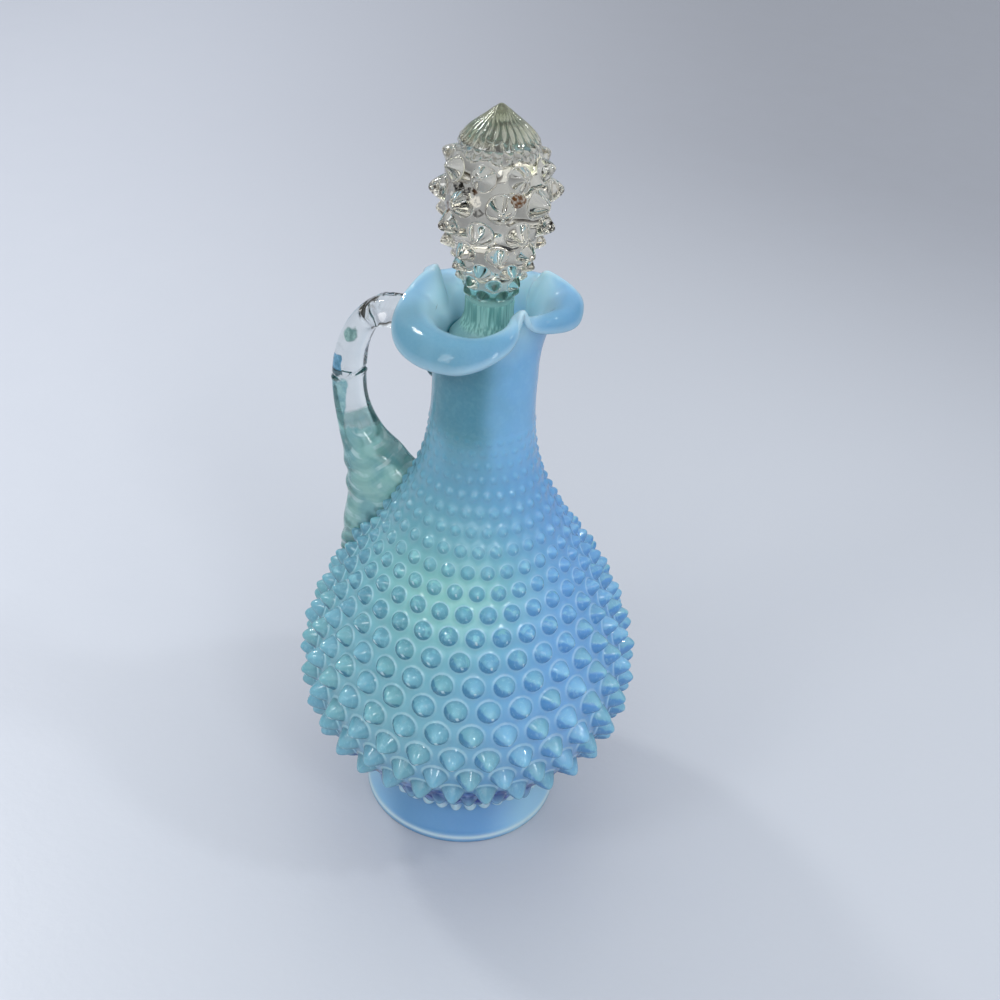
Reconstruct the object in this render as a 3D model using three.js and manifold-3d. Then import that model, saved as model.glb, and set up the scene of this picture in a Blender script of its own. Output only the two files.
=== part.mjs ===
// Glass hobnail decanter: a blown bottle with an integral foot and a crimped
// three-lobed rim, an applied loop handle, and a solid hobnail stopper with a
// fluted cone top that sits in the ground neck.
// Millimetres, +Z up. The bottle's axis is Z and its foot stands on Z = 0.
// The handle is on the -X side and the pouring lobe of the rim is near +X.
import * as THREE from 'three';
import { mergeVertices } from 'three/addons/utils/BufferGeometryUtils.js';
import Module from 'manifold-3d';

const wasm = await Module();
wasm.setup();

// ---------------------------------------------------------------- dimensions
const COLUMNS = 30;              // hobs round the bottle
const TURN = 0;                  // deg, azimuth of one hob column
const HOB_RATIO = 0.46;          // hob height as a share of the hob pitch
const LOWEST_FADE = [0.37, 0.65]; // the two lowest rows, under the belly, are flatter
const FADE_ROWS = [2, 8, 10, 12, 14, 16, 20]; // and so are the rows on the shoulder
const FADE = [1, 1, 0.86, 0.68, 0.56, 0.48, 0.4];
const GAP = 0.3;                 // clearance between touching pieces

// base surface of the bottle below, through and above the hob rows: radius, height
const FOOT = [
  [39.9, 0.0], [40.6, 0.9], [40.5, 2.6], [38.9, 7.0], [37.2, 12.0], [36.8, 17.0], [39.6, 23.0],
];
const HOB_ROWS = [
  [46.6, 31.8],
  [53.8, 41.4], [59.4, 51.4], [62.3, 61.3], [63.1, 71.8], [62.1, 83.0], [59.2, 92.8], [55.7, 101.7],
  [51.8, 110.5], [47.6, 118.8], [43.1, 126.2], [38.8, 132.9], [35.2, 139.7], [31.7, 146.6], [28.4, 153.2],
  [25.6, 159.4], [23.4, 165.6], [21.7, 171.6], [20.7, 177.1], [20.0, 182.0], [19.7, 186.4],
];
const NECK = [[19.4, 190.4], [19.2, 197.5], [19.3, 205.0]];

// inside of the bottle, from the ground seat down to the floor of the cavity
const SEAT_TOP = [14.15, 220.2];
const SEAT_BOTTOM = [11.95, 190.0];
const INSIDE = [
  [12.6, 182.5], [14.9, 176.5], [17.2, 169.0], [20.2, 160.5], [25.4, 149.5], [31.2, 138.0], [37.6, 126.5],
  [41.2, 120.2], [45.2, 113.5], [51.6, 100.0], [56.6, 86.0], [58.8, 72.0], [57.4, 58.0], [51.8, 45.5], [42.0, 33.5],
  [33.0, 25.0], [22.0, 19.0],
];
const FLOOR_Z = 16.5;
// shared cuts through the wall: after these hob rows outside, at these rings inside
const CUT_ROWS = [4, 9];
const FOOT_CUT = 15;
const BELLY_CUT = 11;
const SHOULDER_CUT = 7;
const RING_INNER = 35.4;         // inner radius of the flat foot ring
const RECESS = [[33.4, 3.2], [19.0, 5.0]];
const RECESS_Z = 5.6;

// crimped rim: the three pinched points, then the edge between them.
// Each half of a lobe runs from a pinched point (w = 0) to its middle (w = 1):
// r, z place the middle of the lip, dir is the way the lip points (deg above
// level), pull is how far it curls over and rise how straight the neck goes up
const PINCH = [-30, 54, 180];
const LIP_T = 3.2;
const NECK_T = 4.4;
const RIM_START = [17.1, 205.0];
const BACK_LIFT = 3.4;           // the rear lobe is curled over a little less
const SPOUT_NEAR = {
  w: [0, 0.07, 0.21, 0.36, 0.5, 0.64, 0.86, 1],
  r: [20.6, 22.6, 24.6, 27.0, 28.6, 29.8, 31.3, 32.0],
  z: [241.8, 235.0, 233.0, 232.9, 232.7, 232.3, 232.0, 232.5],
  dir: [78, -50, -62, -70, -74, -75, -72, -66],
  pull: [10, 10, 11, 12.5, 13.5, 14, 14, 14],
  rise: [12, 14, 17, 19, 20.5, 21.5, 22, 22],
};
const SPOUT_FAR = {
  w: [0, 0.21, 0.36, 0.5, 0.64, 0.79, 0.93, 1],
  r: [20.6, 24.3, 27.3, 29.8, 31.5, 32.0, 32.1, 32.0],
  z: [241.8, 240.4, 239.0, 237.4, 236.1, 234.8, 233.3, 232.5],
  dir: [78, 25, 5, -15, -32, -45, -58, -66],
  pull: [10, 8, 8.5, 9.5, 11, 12.5, 13.5, 14],
  rise: [12, 14, 17, 19, 20.5, 21.5, 22, 22],
};
const TIGHT = {
  w: [0, 0.083, 0.167, 0.25, 0.36, 0.5, 0.69, 1],
  r: [20.6, 23.0, 25.5, 28.0, 30.3, 32.3, 34.2, 34.6],
  z: [241.8, 233.5, 230.6, 229.0, 227.2, 224.6, 222.5, 221.7],
  dir: [78, -62, -58, -55, -56, -60, -62, -62],
  pull: [10, 12, 13, 14, 15, 16, 17.5, 18],
  rise: [12, 14, 17, 19, 20, 21, 22, 22],
};
const OPEN = {
  w: [0, 0.08, 0.15, 0.22, 0.30, 0.45, 0.65, 0.85, 1],
  r: [20.6, 26.4, 29.4, 30.8, 31.8, 33.0, 34.0, 34.5, 34.6],
  z: [241.8, 236.5, 232.0, 229.8, 227.8, 225.4, 223.0, 221.9, 221.7],
  dir: [78, 30, 0, -18, -32, -45, -55, -60, -62],
  pull: [10, 9.5, 9.5, 10.5, 12, 14, 16.5, 17.5, 18],
  rise: [12, 14, 16, 17.5, 19, 20.5, 22, 22, 22],
};

// handle, from the neck over the bow to the pad: outer edge, inner edge, half width
const HANDLE = [
  [14.0, 229.0, 14.0, 197.0, 9.0], [20.0, 228.2, 20.0, 198.0, 8.5], [24.0, 227.0, 24.0, 203.5, 7.5],
  [29.5, 225.8, 29.5, 209.0, 6.6], [36.5, 224.8, 36.8, 212.0, 6.2], [43.6, 223.4, 42.6, 211.3, 6.1],
  [50.4, 219.4, 46.9, 208.8, 6.0], [56.6, 212.0, 49.4, 204.0, 6.0], [61.2, 203.0, 51.4, 198.0, 6.0],
  [63.9, 193.6, 52.1, 191.6, 6.0], [64.7, 184.4, 52.4, 185.4, 6.1], [64.0, 175.4, 52.2, 179.0, 6.3],
  [62.2, 166.8, 50.9, 173.0, 6.8], [60.1, 158.6, 47.6, 166.6, 7.8], [58.3, 150.2, 40.4, 159.8, 9.0],
  [57.3, 141.0, 28.6, 151.6, 10.0], [57.3, 131.0, 30.0, 140.0, 10.4], [58.0, 121.4, 36.0, 128.0, 10.0],
  [59.3, 113.0, 43.0, 117.5, 8.8], [60.4, 106.0, 50.0, 109.0, 6.8], [60.5, 101.4, 55.0, 103.0, 3.6],
];
const HANDLE_SIDES = 18;

// stopper: tip of the cone, flutes, hob rows (radius, height, hob height), shank and plug
const TIP_Z = 305.0;
const FLUTES = 24;
const CONE = [[2.8, 303.4], [8.0, 299.3], [14.0, 294.0]];
const FLUTE_DEPTH = [0.0, 0.45, 1.1];
const CONE_LIP = [12.4, 292.6];
const STOPPER_COLUMNS = 8;
const STOPPER_TURN = 33;
const STOPPER_TOP = [[13.2, 292.0]];
const STOPPER_ROWS = [
  [15.6, 285.2, 4.3], [17.8, 275.6, 5.1], [16.6, 265.8, 4.7], [14.3, 257.2, 4.1], [12.1, 250.2, 3.3],
  [10.3, 244.2, 2.4], [9.1, 239.4, 1.3],
];
const STOPPER_BELOW = [8.6, 236.0];
const SHANK = [[8.5, 232.4], [8.6, 229.4], [9.6, 226.2], [11.4, 223.4], [13.2, 221.2]];
const PLUG_TOP = [SEAT_TOP[0] - GAP, SEAT_TOP[1] - 0.3];
const PLUG_BOTTOM = [SEAT_BOTTOM[0] - GAP + 0.02, SEAT_BOTTOM[1] + 0.6];
const PLUG_END = [10.6, 189.2];
const PLUG_SIDES = 32;

// ------------------------------------------------------------------- helpers
const rad = THREE.MathUtils.degToRad;
const at = (r, z, deg) => new THREE.Vector3(r * Math.cos(rad(deg)), r * Math.sin(rad(deg)), z);

// A closed skin made of rings that all run the same way round the axis.
class Skin {
  constructor() { this.points = []; this.faces = []; }

  add(p) { this.points.push(p); return this.points.length - 1; }

  ring(list) { return list.map((p) => this.add(p)); }

  circle(r, z, n, turn = TURN) {
    return this.ring(Array.from({ length: n }, (_, m) => at(r, z, turn + (360 / n) * m)));
  }

  // joins ring a to the next ring b along the skin, whatever their counts
  stitch(a, b) {
    const turnOf = (i) => {
      const p = this.points[i];
      return Math.atan2(p.y, p.x);
    };
    const wrap = (x) => ((x % (2 * Math.PI)) + 2 * Math.PI) % (2 * Math.PI);
    const start = turnOf(a[0]);
    let k0 = 0;
    let best = 10;
    b.forEach((i, k) => {
      const d = Math.abs(wrap(turnOf(i) - start + Math.PI) - Math.PI);
      if (d < best - 1e-9) { best = d; k0 = k; }
    });
    const n = a.length;
    const m = b.length;
    let i = 0;
    let j = 0;
    while (i < n || j < m) {
      const a0 = a[i % n];
      const b0 = b[(k0 + j) % m];
      const nextA = (i + 1) / n;
      const nextB = (j + 1) / m;
      if (j >= m || (i < n && nextA <= nextB)) {
        this.faces.push([a0, a[(i + 1) % n], b0]);
        i += 1;
      } else {
        this.faces.push([a0, b[(k0 + j + 1) % m], b0]);
        j += 1;
      }
    }
  }

  // the same faces as stitch(a, b), turned over: the other side of a shared cut
  back(a, b) {
    const n = this.faces.length;
    this.stitch(a, b);
    for (let i = n; i < this.faces.length; i += 1) this.faces[i].reverse();
  }

  // closes a ring onto one point; up is true where the ring is the last one
  cap(ring, p, last) {
    const c = this.add(p);
    ring.forEach((v, i) => {
      const w = ring[(i + 1) % ring.length];
      this.faces.push(last ? [v, w, c] : [w, v, c]);
    });
  }

  geometry() {
    const g = new THREE.BufferGeometry();
    g.setAttribute('position', new THREE.Float32BufferAttribute(this.points.flatMap((p) => [p.x, p.y, p.z]), 3));
    g.setIndex(this.faces.flat());
    g.computeVertexNormals();
    return g;
  }
}

// profile curve through its control points; k counts control points
function profile(list) {
  const curve = new THREE.SplineCurve(list.map(([r, z]) => new THREE.Vector2(r, z)));
  const last = list.length - 1;
  return (k) => {
    const p = curve.getPoint(k / last);
    const t = curve.getTangent(k / last);
    return { r: p.x, z: p.y, nr: t.y, nz: -t.x };
  };
}

// staggered hob rows on a profile: rows at control points first..last.
// Each hob is a six-sided point; the valleys between rows are zigzag rings.
function valley(skin, curve, row, columns, turn, grow = 0) {
  return skin.ring(Array.from({ length: columns * 2 }, (_, m) => {
    const lower = ((m + row) % 2 + 2) % 2 === 1;
    const q = curve(row + (lower ? 1 / 3 : 2 / 3));
    return at(q.r + q.nr * grow, q.z + q.nz * grow, turn + (180 / columns) * m);
  }));
}

function hobField(skin, curve, first, last, columns, turn, height, grow = 0) {
  const step = 180 / columns;
  const zigzag = (row) => valley(skin, curve, row, columns, turn, grow);
  const bottom = zigzag(first - 1);
  let below = bottom;
  for (let row = first; row <= last; row += 1) {
    const above = zigzag(row);
    const q = curve(row);
    const h = height(row, q) + grow * 1.25;
    const n = columns * 2;
    for (let m = (((row % 2) + 2) % 2); m < n; m += 2) {
      const tip = skin.add(at(q.r + q.nr * h, q.z + q.nz * h, turn + step * m));
      const l = (m - 1 + n) % n;
      const r = (m + 1) % n;
      const loop = [below[l], below[m], below[r], above[r], above[m], above[l]];
      loop.forEach((v, i) => skin.faces.push([tip, v, loop[(i + 1) % 6]]));
    }
    below = above;
  }
  return { bottom, top: below };
}

function sample(table, key, w) {
  const xs = table.w;
  const ys = table[key];
  let i = 0;
  while (i < xs.length - 2 && w > xs[i + 1]) i += 1;
  const t = (w - xs[i]) / (xs[i + 1] - xs[i]);
  return ys[i] + (ys[i + 1] - ys[i]) * t;
}

// rim section at one azimuth: middle line of the glass as a Bezier curve
function rimSection(deg) {
  const norm = (x) => ((x % 360) + 360) % 360;
  for (let k = 0; k < 3; k += 1) {
    const a = PINCH[k];
    const span = norm(PINCH[(k + 1) % 3] - a);
    const off = norm(deg - a);
    if (off <= span + 1e-6) {
      const half = span / 2;
      const w = Math.min(1, (half - Math.abs(off - half)) / half);
      const table = [[SPOUT_NEAR, SPOUT_FAR], [TIGHT, OPEN], [OPEN, TIGHT]][k][off <= half ? 0 : 1];
      const v = (key) => sample(table, key, Math.max(0, w));
      const lift = k === 1 ? BACK_LIFT * Math.min(1, Math.max(0, w) / 0.2) : 0;
      const d = rad(v('dir'));
      const p3 = new THREE.Vector2(v('r'), v('z') + lift);
      const p2 = new THREE.Vector2(p3.x - Math.cos(d) * v('pull'), p3.y - Math.sin(d) * v('pull'));
      const p0 = new THREE.Vector2(...RIM_START);
      const p1 = new THREE.Vector2(p0.x - 0.2, p0.y + v('rise') + lift);
      return new THREE.CubicBezierCurve(p0, p1, p2, p3);
    }
  }
  throw new Error('azimuth outside the rim');
}

const RIM_POINTS = COLUMNS * 2;
function rimRing(skin, u, side, grow = 0) {
  return skin.ring(Array.from({ length: RIM_POINTS }, (_, m) => {
    const deg = TURN + (360 / RIM_POINTS) * m;
    const c = rimSection(deg);
    const p = c.getPoint(u);
    const t = c.getTangent(u);
    const half = (NECK_T + (LIP_T - NECK_T) * Math.min(1, u * 1.4)) / 2 + grow;
    if (side === 0) return at(p.x + t.x * half * 0.9, p.y + t.y * half * 0.9, deg);
    return at(p.x - t.y * half * side, p.y + t.x * half * side, deg);
  }));
}

const ALL = [...FOOT, ...HOB_ROWS, ...NECK];
const base = profile(ALL);
const FIRST = FOOT.length;
const LAST = FIRST + HOB_ROWS.length - 1;
function hobHeight(row, q) {
  const k = row - FIRST;
  const fade = k < 2 ? LOWEST_FADE[k] : sample({ w: FADE_ROWS, fade: FADE }, 'fade', k);
  return HOB_RATIO * fade * 2 * Math.PI * q.r / COLUMNS;
}

// outer skin from the foot ring to the edge of the lip
function outerSkin(skin, grow = 0) {
  const rings = [];
  for (let k = 0; k < FIRST - 1; k += 1) {
    const q = base(k);
    rings.push(skin.circle(q.r + grow, k === 0 ? 0 : q.z, RIM_POINTS));
  }
  for (let k = 1; k < rings.length; k += 1) skin.stitch(rings[k - 1], rings[k]);
  const field = hobField(skin, base, FIRST, LAST, COLUMNS, TURN, hobHeight, grow);
  skin.stitch(rings[rings.length - 1], field.bottom);
  let ring = field.top;
  for (let k = LAST + 1; k < ALL.length - 1; k += 1) {
    const q = base(k);
    const next = skin.circle(q.r + grow, q.z, RIM_POINTS);
    skin.stitch(ring, next);
    ring = next;
  }
  for (const u of [0, 0.22, 0.4, 0.56, 0.7, 0.85, 1]) {
    const next = rimRing(skin, u, -1, grow);
    skin.stitch(ring, next);
    ring = next;
  }
  const lip = rimRing(skin, 1, 0, grow);
  skin.stitch(ring, lip);
  return { foot: rings[0], lip };
}

// -------------------------------------------------------------------- bottle
// The bottle is one blown piece. It is built as five stacked solids, cut
// between hob rows on faces that both neighbours share.
const insideRing = (skin, k) => skin.circle(INSIDE[k][0], INSIDE[k][1], COLUMNS);

function footGeometry() {
  const skin = new Skin();
  const rings = [];
  for (let k = 0; k < FIRST - 1; k += 1) {
    const q = base(k);
    rings.push(skin.circle(q.r, k === 0 ? 0 : q.z, RIM_POINTS));
  }
  for (let k = 1; k < rings.length; k += 1) skin.stitch(rings[k - 1], rings[k]);
  const top = valley(skin, base, FIRST - 1, COLUMNS, TURN);
  skin.stitch(rings[rings.length - 1], top);
  let ring = insideRing(skin, FOOT_CUT);
  skin.stitch(top, ring);
  for (let k = FOOT_CUT + 1; k < INSIDE.length; k += 1) {
    const next = insideRing(skin, k);
    skin.stitch(ring, next);
    ring = next;
  }
  skin.cap(ring, new THREE.Vector3(0, 0, FLOOR_Z), true);
  // underside, from the foot ring in to the middle of the recess
  const chain = [rings[0], skin.circle(RING_INNER, 0, RIM_POINTS), ...RECESS.map(([r, z]) => skin.circle(r, z, COLUMNS))];
  for (let k = 1; k < chain.length; k += 1) skin.stitch(chain[k], chain[k - 1]);
  skin.cap(chain[chain.length - 1], new THREE.Vector3(0, 0, RECESS_Z), false);
  return skin.geometry();
}

// a hollow band of hob rows first..last, between inside rings low and high
function bandGeometry(first, last, low, high) {
  const skin = new Skin();
  const field = hobField(skin, base, first, last, COLUMNS, TURN, hobHeight);
  let ring = insideRing(skin, high);
  skin.stitch(field.top, ring);
  for (let k = high + 1; k <= low; k += 1) {
    const next = insideRing(skin, k);
    skin.stitch(ring, next);
    ring = next;
  }
  skin.back(field.bottom, ring);
  return skin.geometry();
}

function shoulderGeometry() {
  const skin = new Skin();
  const first = FIRST + CUT_ROWS[1] + 1;
  const field = hobField(skin, base, first, LAST, COLUMNS, TURN, hobHeight);
  const q = base(LAST + 1);
  const top = skin.circle(q.r, q.z, RIM_POINTS);
  skin.stitch(field.top, top);
  let ring = skin.circle(SEAT_BOTTOM[0], SEAT_BOTTOM[1], RIM_POINTS);
  skin.stitch(top, ring);
  for (let k = 0; k <= SHOULDER_CUT; k += 1) {
    const next = insideRing(skin, k);
    skin.stitch(ring, next);
    ring = next;
  }
  skin.back(field.bottom, ring);
  return skin.geometry();
}

function neckGeometry() {
  const skin = new Skin();
  const q = base(LAST + 1);
  const start = skin.circle(q.r, q.z, RIM_POINTS);
  let ring = start;
  const go = (next) => { skin.stitch(ring, next); ring = next; };
  for (let k = LAST + 2; k < ALL.length - 1; k += 1) go(skin.circle(base(k).r, base(k).z, RIM_POINTS));
  for (const u of [0, 0.22, 0.4, 0.56, 0.7, 0.85, 1]) go(rimRing(skin, u, -1));
  go(rimRing(skin, 1, 0));
  for (const u of [1, 0.85, 0.7, 0.56, 0.48]) go(rimRing(skin, u, 1));
  go(skin.circle(14.9, SEAT_TOP[1] + 0.8, RIM_POINTS));
  go(skin.circle(SEAT_TOP[0], SEAT_TOP[1], RIM_POINTS));
  go(skin.circle(SEAT_BOTTOM[0], SEAT_BOTTOM[1], RIM_POINTS));
  skin.back(start, ring);
  return skin.geometry();
}

// the bottle's outer shape as one plain solid, grown a little, to trim the handle
function trimSolid() {
  const skin = new Skin();
  const { foot, lip } = outerSkin(skin, GAP + 0.12);
  skin.cap(lip, new THREE.Vector3(0, 0, 232), true);
  skin.cap(foot, new THREE.Vector3(0, 0, 0), false);
  return skin.geometry();
}

// -------------------------------------------------------------------- handle
function handleBlank() {
  const skin = new Skin();
  const rings = HANDLE.map(([ro, zo, ri, zi, b]) => skin.ring(Array.from({ length: HANDLE_SIDES }, (_, m) => {
    const t = (2 * Math.PI * m) / HANDLE_SIDES;
    const c = Math.cos(t);
    const s = Math.sin(t);
    const r = (ro + ri) / 2 + ((ro - ri) / 2) * c;
    const z = (zo + zi) / 2 + ((zo - zi) / 2) * c;
    return new THREE.Vector3(-r, b * s, z);
  })));
  for (let k = 1; k < rings.length; k += 1) {
    const a = rings[k - 1];
    const b = rings[k];
    for (let m = 0; m < HANDLE_SIDES; m += 1) {
      const n = (m + 1) % HANDLE_SIDES;
      skin.faces.push([a[m], b[n], b[m]], [a[m], a[n], b[n]]);
    }
  }
  const mid = ([ro, zo, ri, zi]) => new THREE.Vector3(-(ro + ri) / 2, 0, (zo + zi) / 2);
  const end = (ring, p, flip) => {
    const c = skin.add(p);
    ring.forEach((v, i) => {
      const w = ring[(i + 1) % ring.length];
      skin.faces.push(flip ? [c, w, v] : [c, v, w]);
    });
  };
  end(rings[0], mid(HANDLE[0]), true);
  end(rings[rings.length - 1], mid(HANDLE[HANDLE.length - 1]), false);
  return skin.geometry();
}

function toSolid(geometry) {
  const g = geometry.clone();
  g.deleteAttribute('normal');
  g.deleteAttribute('uv');
  const merged = mergeVertices(g, 1e-5);
  return new wasm.Manifold(new wasm.Mesh({
    numProp: 3,
    vertProperties: new Float32Array(merged.attributes.position.array),
    triVerts: new Uint32Array(merged.index.array),
  }));
}

function fromSolid(solid) {
  const m = solid.getMesh();
  const g = new THREE.BufferGeometry();
  const xyz = new Float32Array(m.numVert * 3);
  for (let i = 0; i < m.numVert; i += 1) {
    for (let k = 0; k < 3; k += 1) xyz[i * 3 + k] = m.vertProperties[i * m.numProp + k];
  }
  g.setAttribute('position', new THREE.BufferAttribute(xyz, 3));
  g.setIndex(Array.from(m.triVerts));
  g.computeVertexNormals();
  return g;
}

function handleGeometry() {
  const cut = toSolid(handleBlank()).subtract(toSolid(trimSolid()));
  const pieces = cut.decompose();
  pieces.sort((a, b) => b.volume() - a.volume());
  return fromSolid(pieces[0]);
}

// ------------------------------------------------------------------- stopper
function stopperGeometry() {
  const skin = new Skin();
  const n = FLUTES * 2;
  const spline = [STOPPER_BELOW, ...[...STOPPER_ROWS].reverse().map(([r, z]) => [r, z]), ...STOPPER_TOP];
  const curve = profile(spline);
  const heights = [...STOPPER_ROWS].reverse().map((v) => v[2]);
  // plug and shank, from the underside upwards
  let ring = skin.circle(PLUG_END[0], PLUG_END[1], PLUG_SIDES, 0);
  skin.cap(ring, new THREE.Vector3(0, 0, PLUG_END[1] + 1.2), false);
  const go = (next) => { skin.stitch(ring, next); ring = next; };
  go(skin.circle(PLUG_BOTTOM[0], PLUG_BOTTOM[1], PLUG_SIDES, 0));
  go(skin.circle(PLUG_TOP[0], PLUG_TOP[1], PLUG_SIDES, 0));
  for (const [r, z] of [...SHANK].reverse()) go(skin.circle(r, z, PLUG_SIDES, 0));
  const field = hobField(skin, curve, 1, STOPPER_ROWS.length, STOPPER_COLUMNS, STOPPER_TURN, (row) => heights[row - 1]);
  go(field.bottom);
  ring = field.top;
  go(skin.circle(CONE_LIP[0], CONE_LIP[1], n, 0));
  for (let k = CONE.length - 1; k >= 0; k -= 1) {
    const [r, z] = CONE[k];
    go(skin.ring(Array.from({ length: n }, (_, m) => at(r - (m % 2) * FLUTE_DEPTH[k], z, (360 / n) * m))));
  }
  skin.cap(ring, new THREE.Vector3(0, 0, TIP_Z), true);
  return skin.geometry();
}

// ------------------------------------------------------------------ assembly
function piece(name, geometry, colour, roughness) {
  const material = new THREE.MeshStandardMaterial({ color: colour, roughness, metalness: 0 });
  const mesh = new THREE.Mesh(geometry, material);
  mesh.name = name;
  return mesh;
}

const decanter = new THREE.Group();
const stopper = new THREE.Group();
decanter.add(piece('foot', footGeometry(), 0x6f9fd0, 0.12));
decanter.add(piece('belly_lower', bandGeometry(FIRST, FIRST + CUT_ROWS[0], FOOT_CUT, BELLY_CUT), 0x7fb8dc, 0.12));
decanter.add(piece('belly_upper', bandGeometry(FIRST + CUT_ROWS[0] + 1, FIRST + CUT_ROWS[1], BELLY_CUT, SHOULDER_CUT), 0x8cc6d6, 0.12));
decanter.add(piece('shoulder', shoulderGeometry(), 0x7fb8dc, 0.12));
decanter.add(piece('neck_rim', neckGeometry(), 0x8fc4e4, 0.12));
decanter.add(piece('handle', handleGeometry(), 0xc9dcd8, 0.06));
stopper.add(piece('stopper', stopperGeometry(), 0xd2d6cc, 0.06));
decanter.add(stopper);

export default decanter;
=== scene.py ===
import math

import bpy
import numpy as np
from mathutils import Matrix, Vector


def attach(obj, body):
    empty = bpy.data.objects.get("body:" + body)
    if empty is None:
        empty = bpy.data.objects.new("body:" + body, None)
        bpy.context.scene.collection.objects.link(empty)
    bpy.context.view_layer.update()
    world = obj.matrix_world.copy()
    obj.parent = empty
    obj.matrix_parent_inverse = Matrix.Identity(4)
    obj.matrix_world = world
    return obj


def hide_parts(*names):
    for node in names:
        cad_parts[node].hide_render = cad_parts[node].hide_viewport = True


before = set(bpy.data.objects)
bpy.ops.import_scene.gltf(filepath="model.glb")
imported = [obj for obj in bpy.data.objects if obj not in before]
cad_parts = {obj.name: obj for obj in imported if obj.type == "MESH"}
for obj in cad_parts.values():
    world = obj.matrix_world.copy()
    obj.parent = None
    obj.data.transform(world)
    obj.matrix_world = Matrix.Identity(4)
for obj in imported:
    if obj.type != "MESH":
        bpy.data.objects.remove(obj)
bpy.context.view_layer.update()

MM = 0.001

# ------------------------------------------------------------------ dimensions
# Millimetres, the same frame as the CAD: axis on Z, foot on Z = 0, handle on -X.
COLUMNS = 30
FOOT = [
    [39.6, 0.0], [40.45, 0.6], [40.75, 1.8], [40.55, 3.0], [39.95, 4.1], [39.1, 5.8], [38.25, 8.2],
    [37.5, 11.2], [36.95, 14.5], [36.85, 17.4], [37.7, 20.6], [40.6, 24.8],
]
HOB_ROWS = [
    [46.6, 31.8],
    [53.8, 41.4], [59.4, 51.4], [62.3, 61.3], [63.1, 71.8], [62.1, 83.0], [59.2, 92.8], [55.7, 101.7],
    [51.8, 110.5], [47.6, 118.8], [43.1, 126.2], [38.8, 132.9], [35.2, 139.7], [31.7, 146.6], [28.4, 153.2],
    [25.6, 159.4], [23.4, 165.6], [21.7, 171.6], [20.7, 177.1], [20.0, 182.0], [19.7, 186.4],
]
NECK = [[19.4, 190.4], [19.2, 197.5], [19.3, 205.0]]
SEAT_TOP = [14.15, 220.2]
SEAT_BOTTOM = [11.95, 190.0]
INSIDE = [
    [12.6, 182.5], [14.9, 176.5], [17.2, 169.0], [20.2, 160.5], [25.4, 149.5], [31.2, 138.0], [37.6, 126.5],
    [45.2, 113.5], [51.6, 100.0], [56.6, 86.0], [58.8, 72.0], [57.4, 58.0], [51.8, 45.5], [42.0, 33.5],
    [33.0, 25.0], [22.0, 19.0], [11.0, 17.1],
]
FLOOR_Z = 16.5

PINCH = [-30, 54, 180]
LIP_T = 3.2
NECK_T = 4.4
RIM_START = [17.1, 205.0]
BACK_LIFT = 3.4
SPOUT_NEAR = {
    "w": [0, 0.07, 0.21, 0.36, 0.5, 0.64, 0.86, 1],
    "r": [20.6, 22.6, 24.6, 27.0, 28.6, 29.8, 31.3, 32.0],
    "z": [241.8, 235.0, 233.0, 232.9, 232.7, 232.3, 232.0, 232.5],
    "dir": [78, -50, -62, -70, -74, -75, -72, -66],
    "pull": [10, 10, 11, 12.5, 13.5, 14, 14, 14],
    "rise": [12, 14, 17, 19, 20.5, 21.5, 22, 22],
}
SPOUT_FAR = {
    "w": [0, 0.21, 0.36, 0.5, 0.64, 0.79, 0.93, 1],
    "r": [20.6, 24.3, 27.3, 29.8, 31.5, 32.0, 32.1, 32.0],
    "z": [241.8, 240.4, 239.0, 237.4, 236.1, 234.8, 233.3, 232.5],
    "dir": [78, 25, 5, -15, -32, -45, -58, -66],
    "pull": [10, 8, 8.5, 9.5, 11, 12.5, 13.5, 14],
    "rise": [12, 14, 17, 19, 20.5, 21.5, 22, 22],
}
TIGHT = {
    "w": [0, 0.083, 0.167, 0.25, 0.36, 0.5, 0.69, 1],
    "r": [20.6, 23.0, 25.5, 28.0, 30.3, 32.3, 34.2, 34.6],
    "z": [241.8, 233.5, 230.6, 229.0, 227.2, 224.6, 222.5, 221.7],
    "dir": [78, -62, -58, -55, -56, -60, -62, -62],
    "pull": [10, 12, 13, 14, 15, 16, 17.5, 18],
    "rise": [12, 14, 17, 19, 20, 21, 22, 22],
}
OPEN = {
    "w": [0, 0.08, 0.15, 0.22, 0.30, 0.45, 0.65, 0.85, 1],
    "r": [20.6, 26.4, 29.4, 30.8, 31.8, 33.0, 34.0, 34.5, 34.6],
    "z": [241.8, 236.5, 232.0, 229.8, 227.8, 225.4, 223.0, 221.9, 221.7],
    "dir": [78, 30, 0, -18, -32, -45, -55, -60, -62],
    "pull": [10, 9.5, 9.5, 10.5, 12, 14, 16.5, 17.5, 18],
    "rise": [12, 14, 16, 17.5, 19, 20.5, 22, 22, 22],
}

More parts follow.
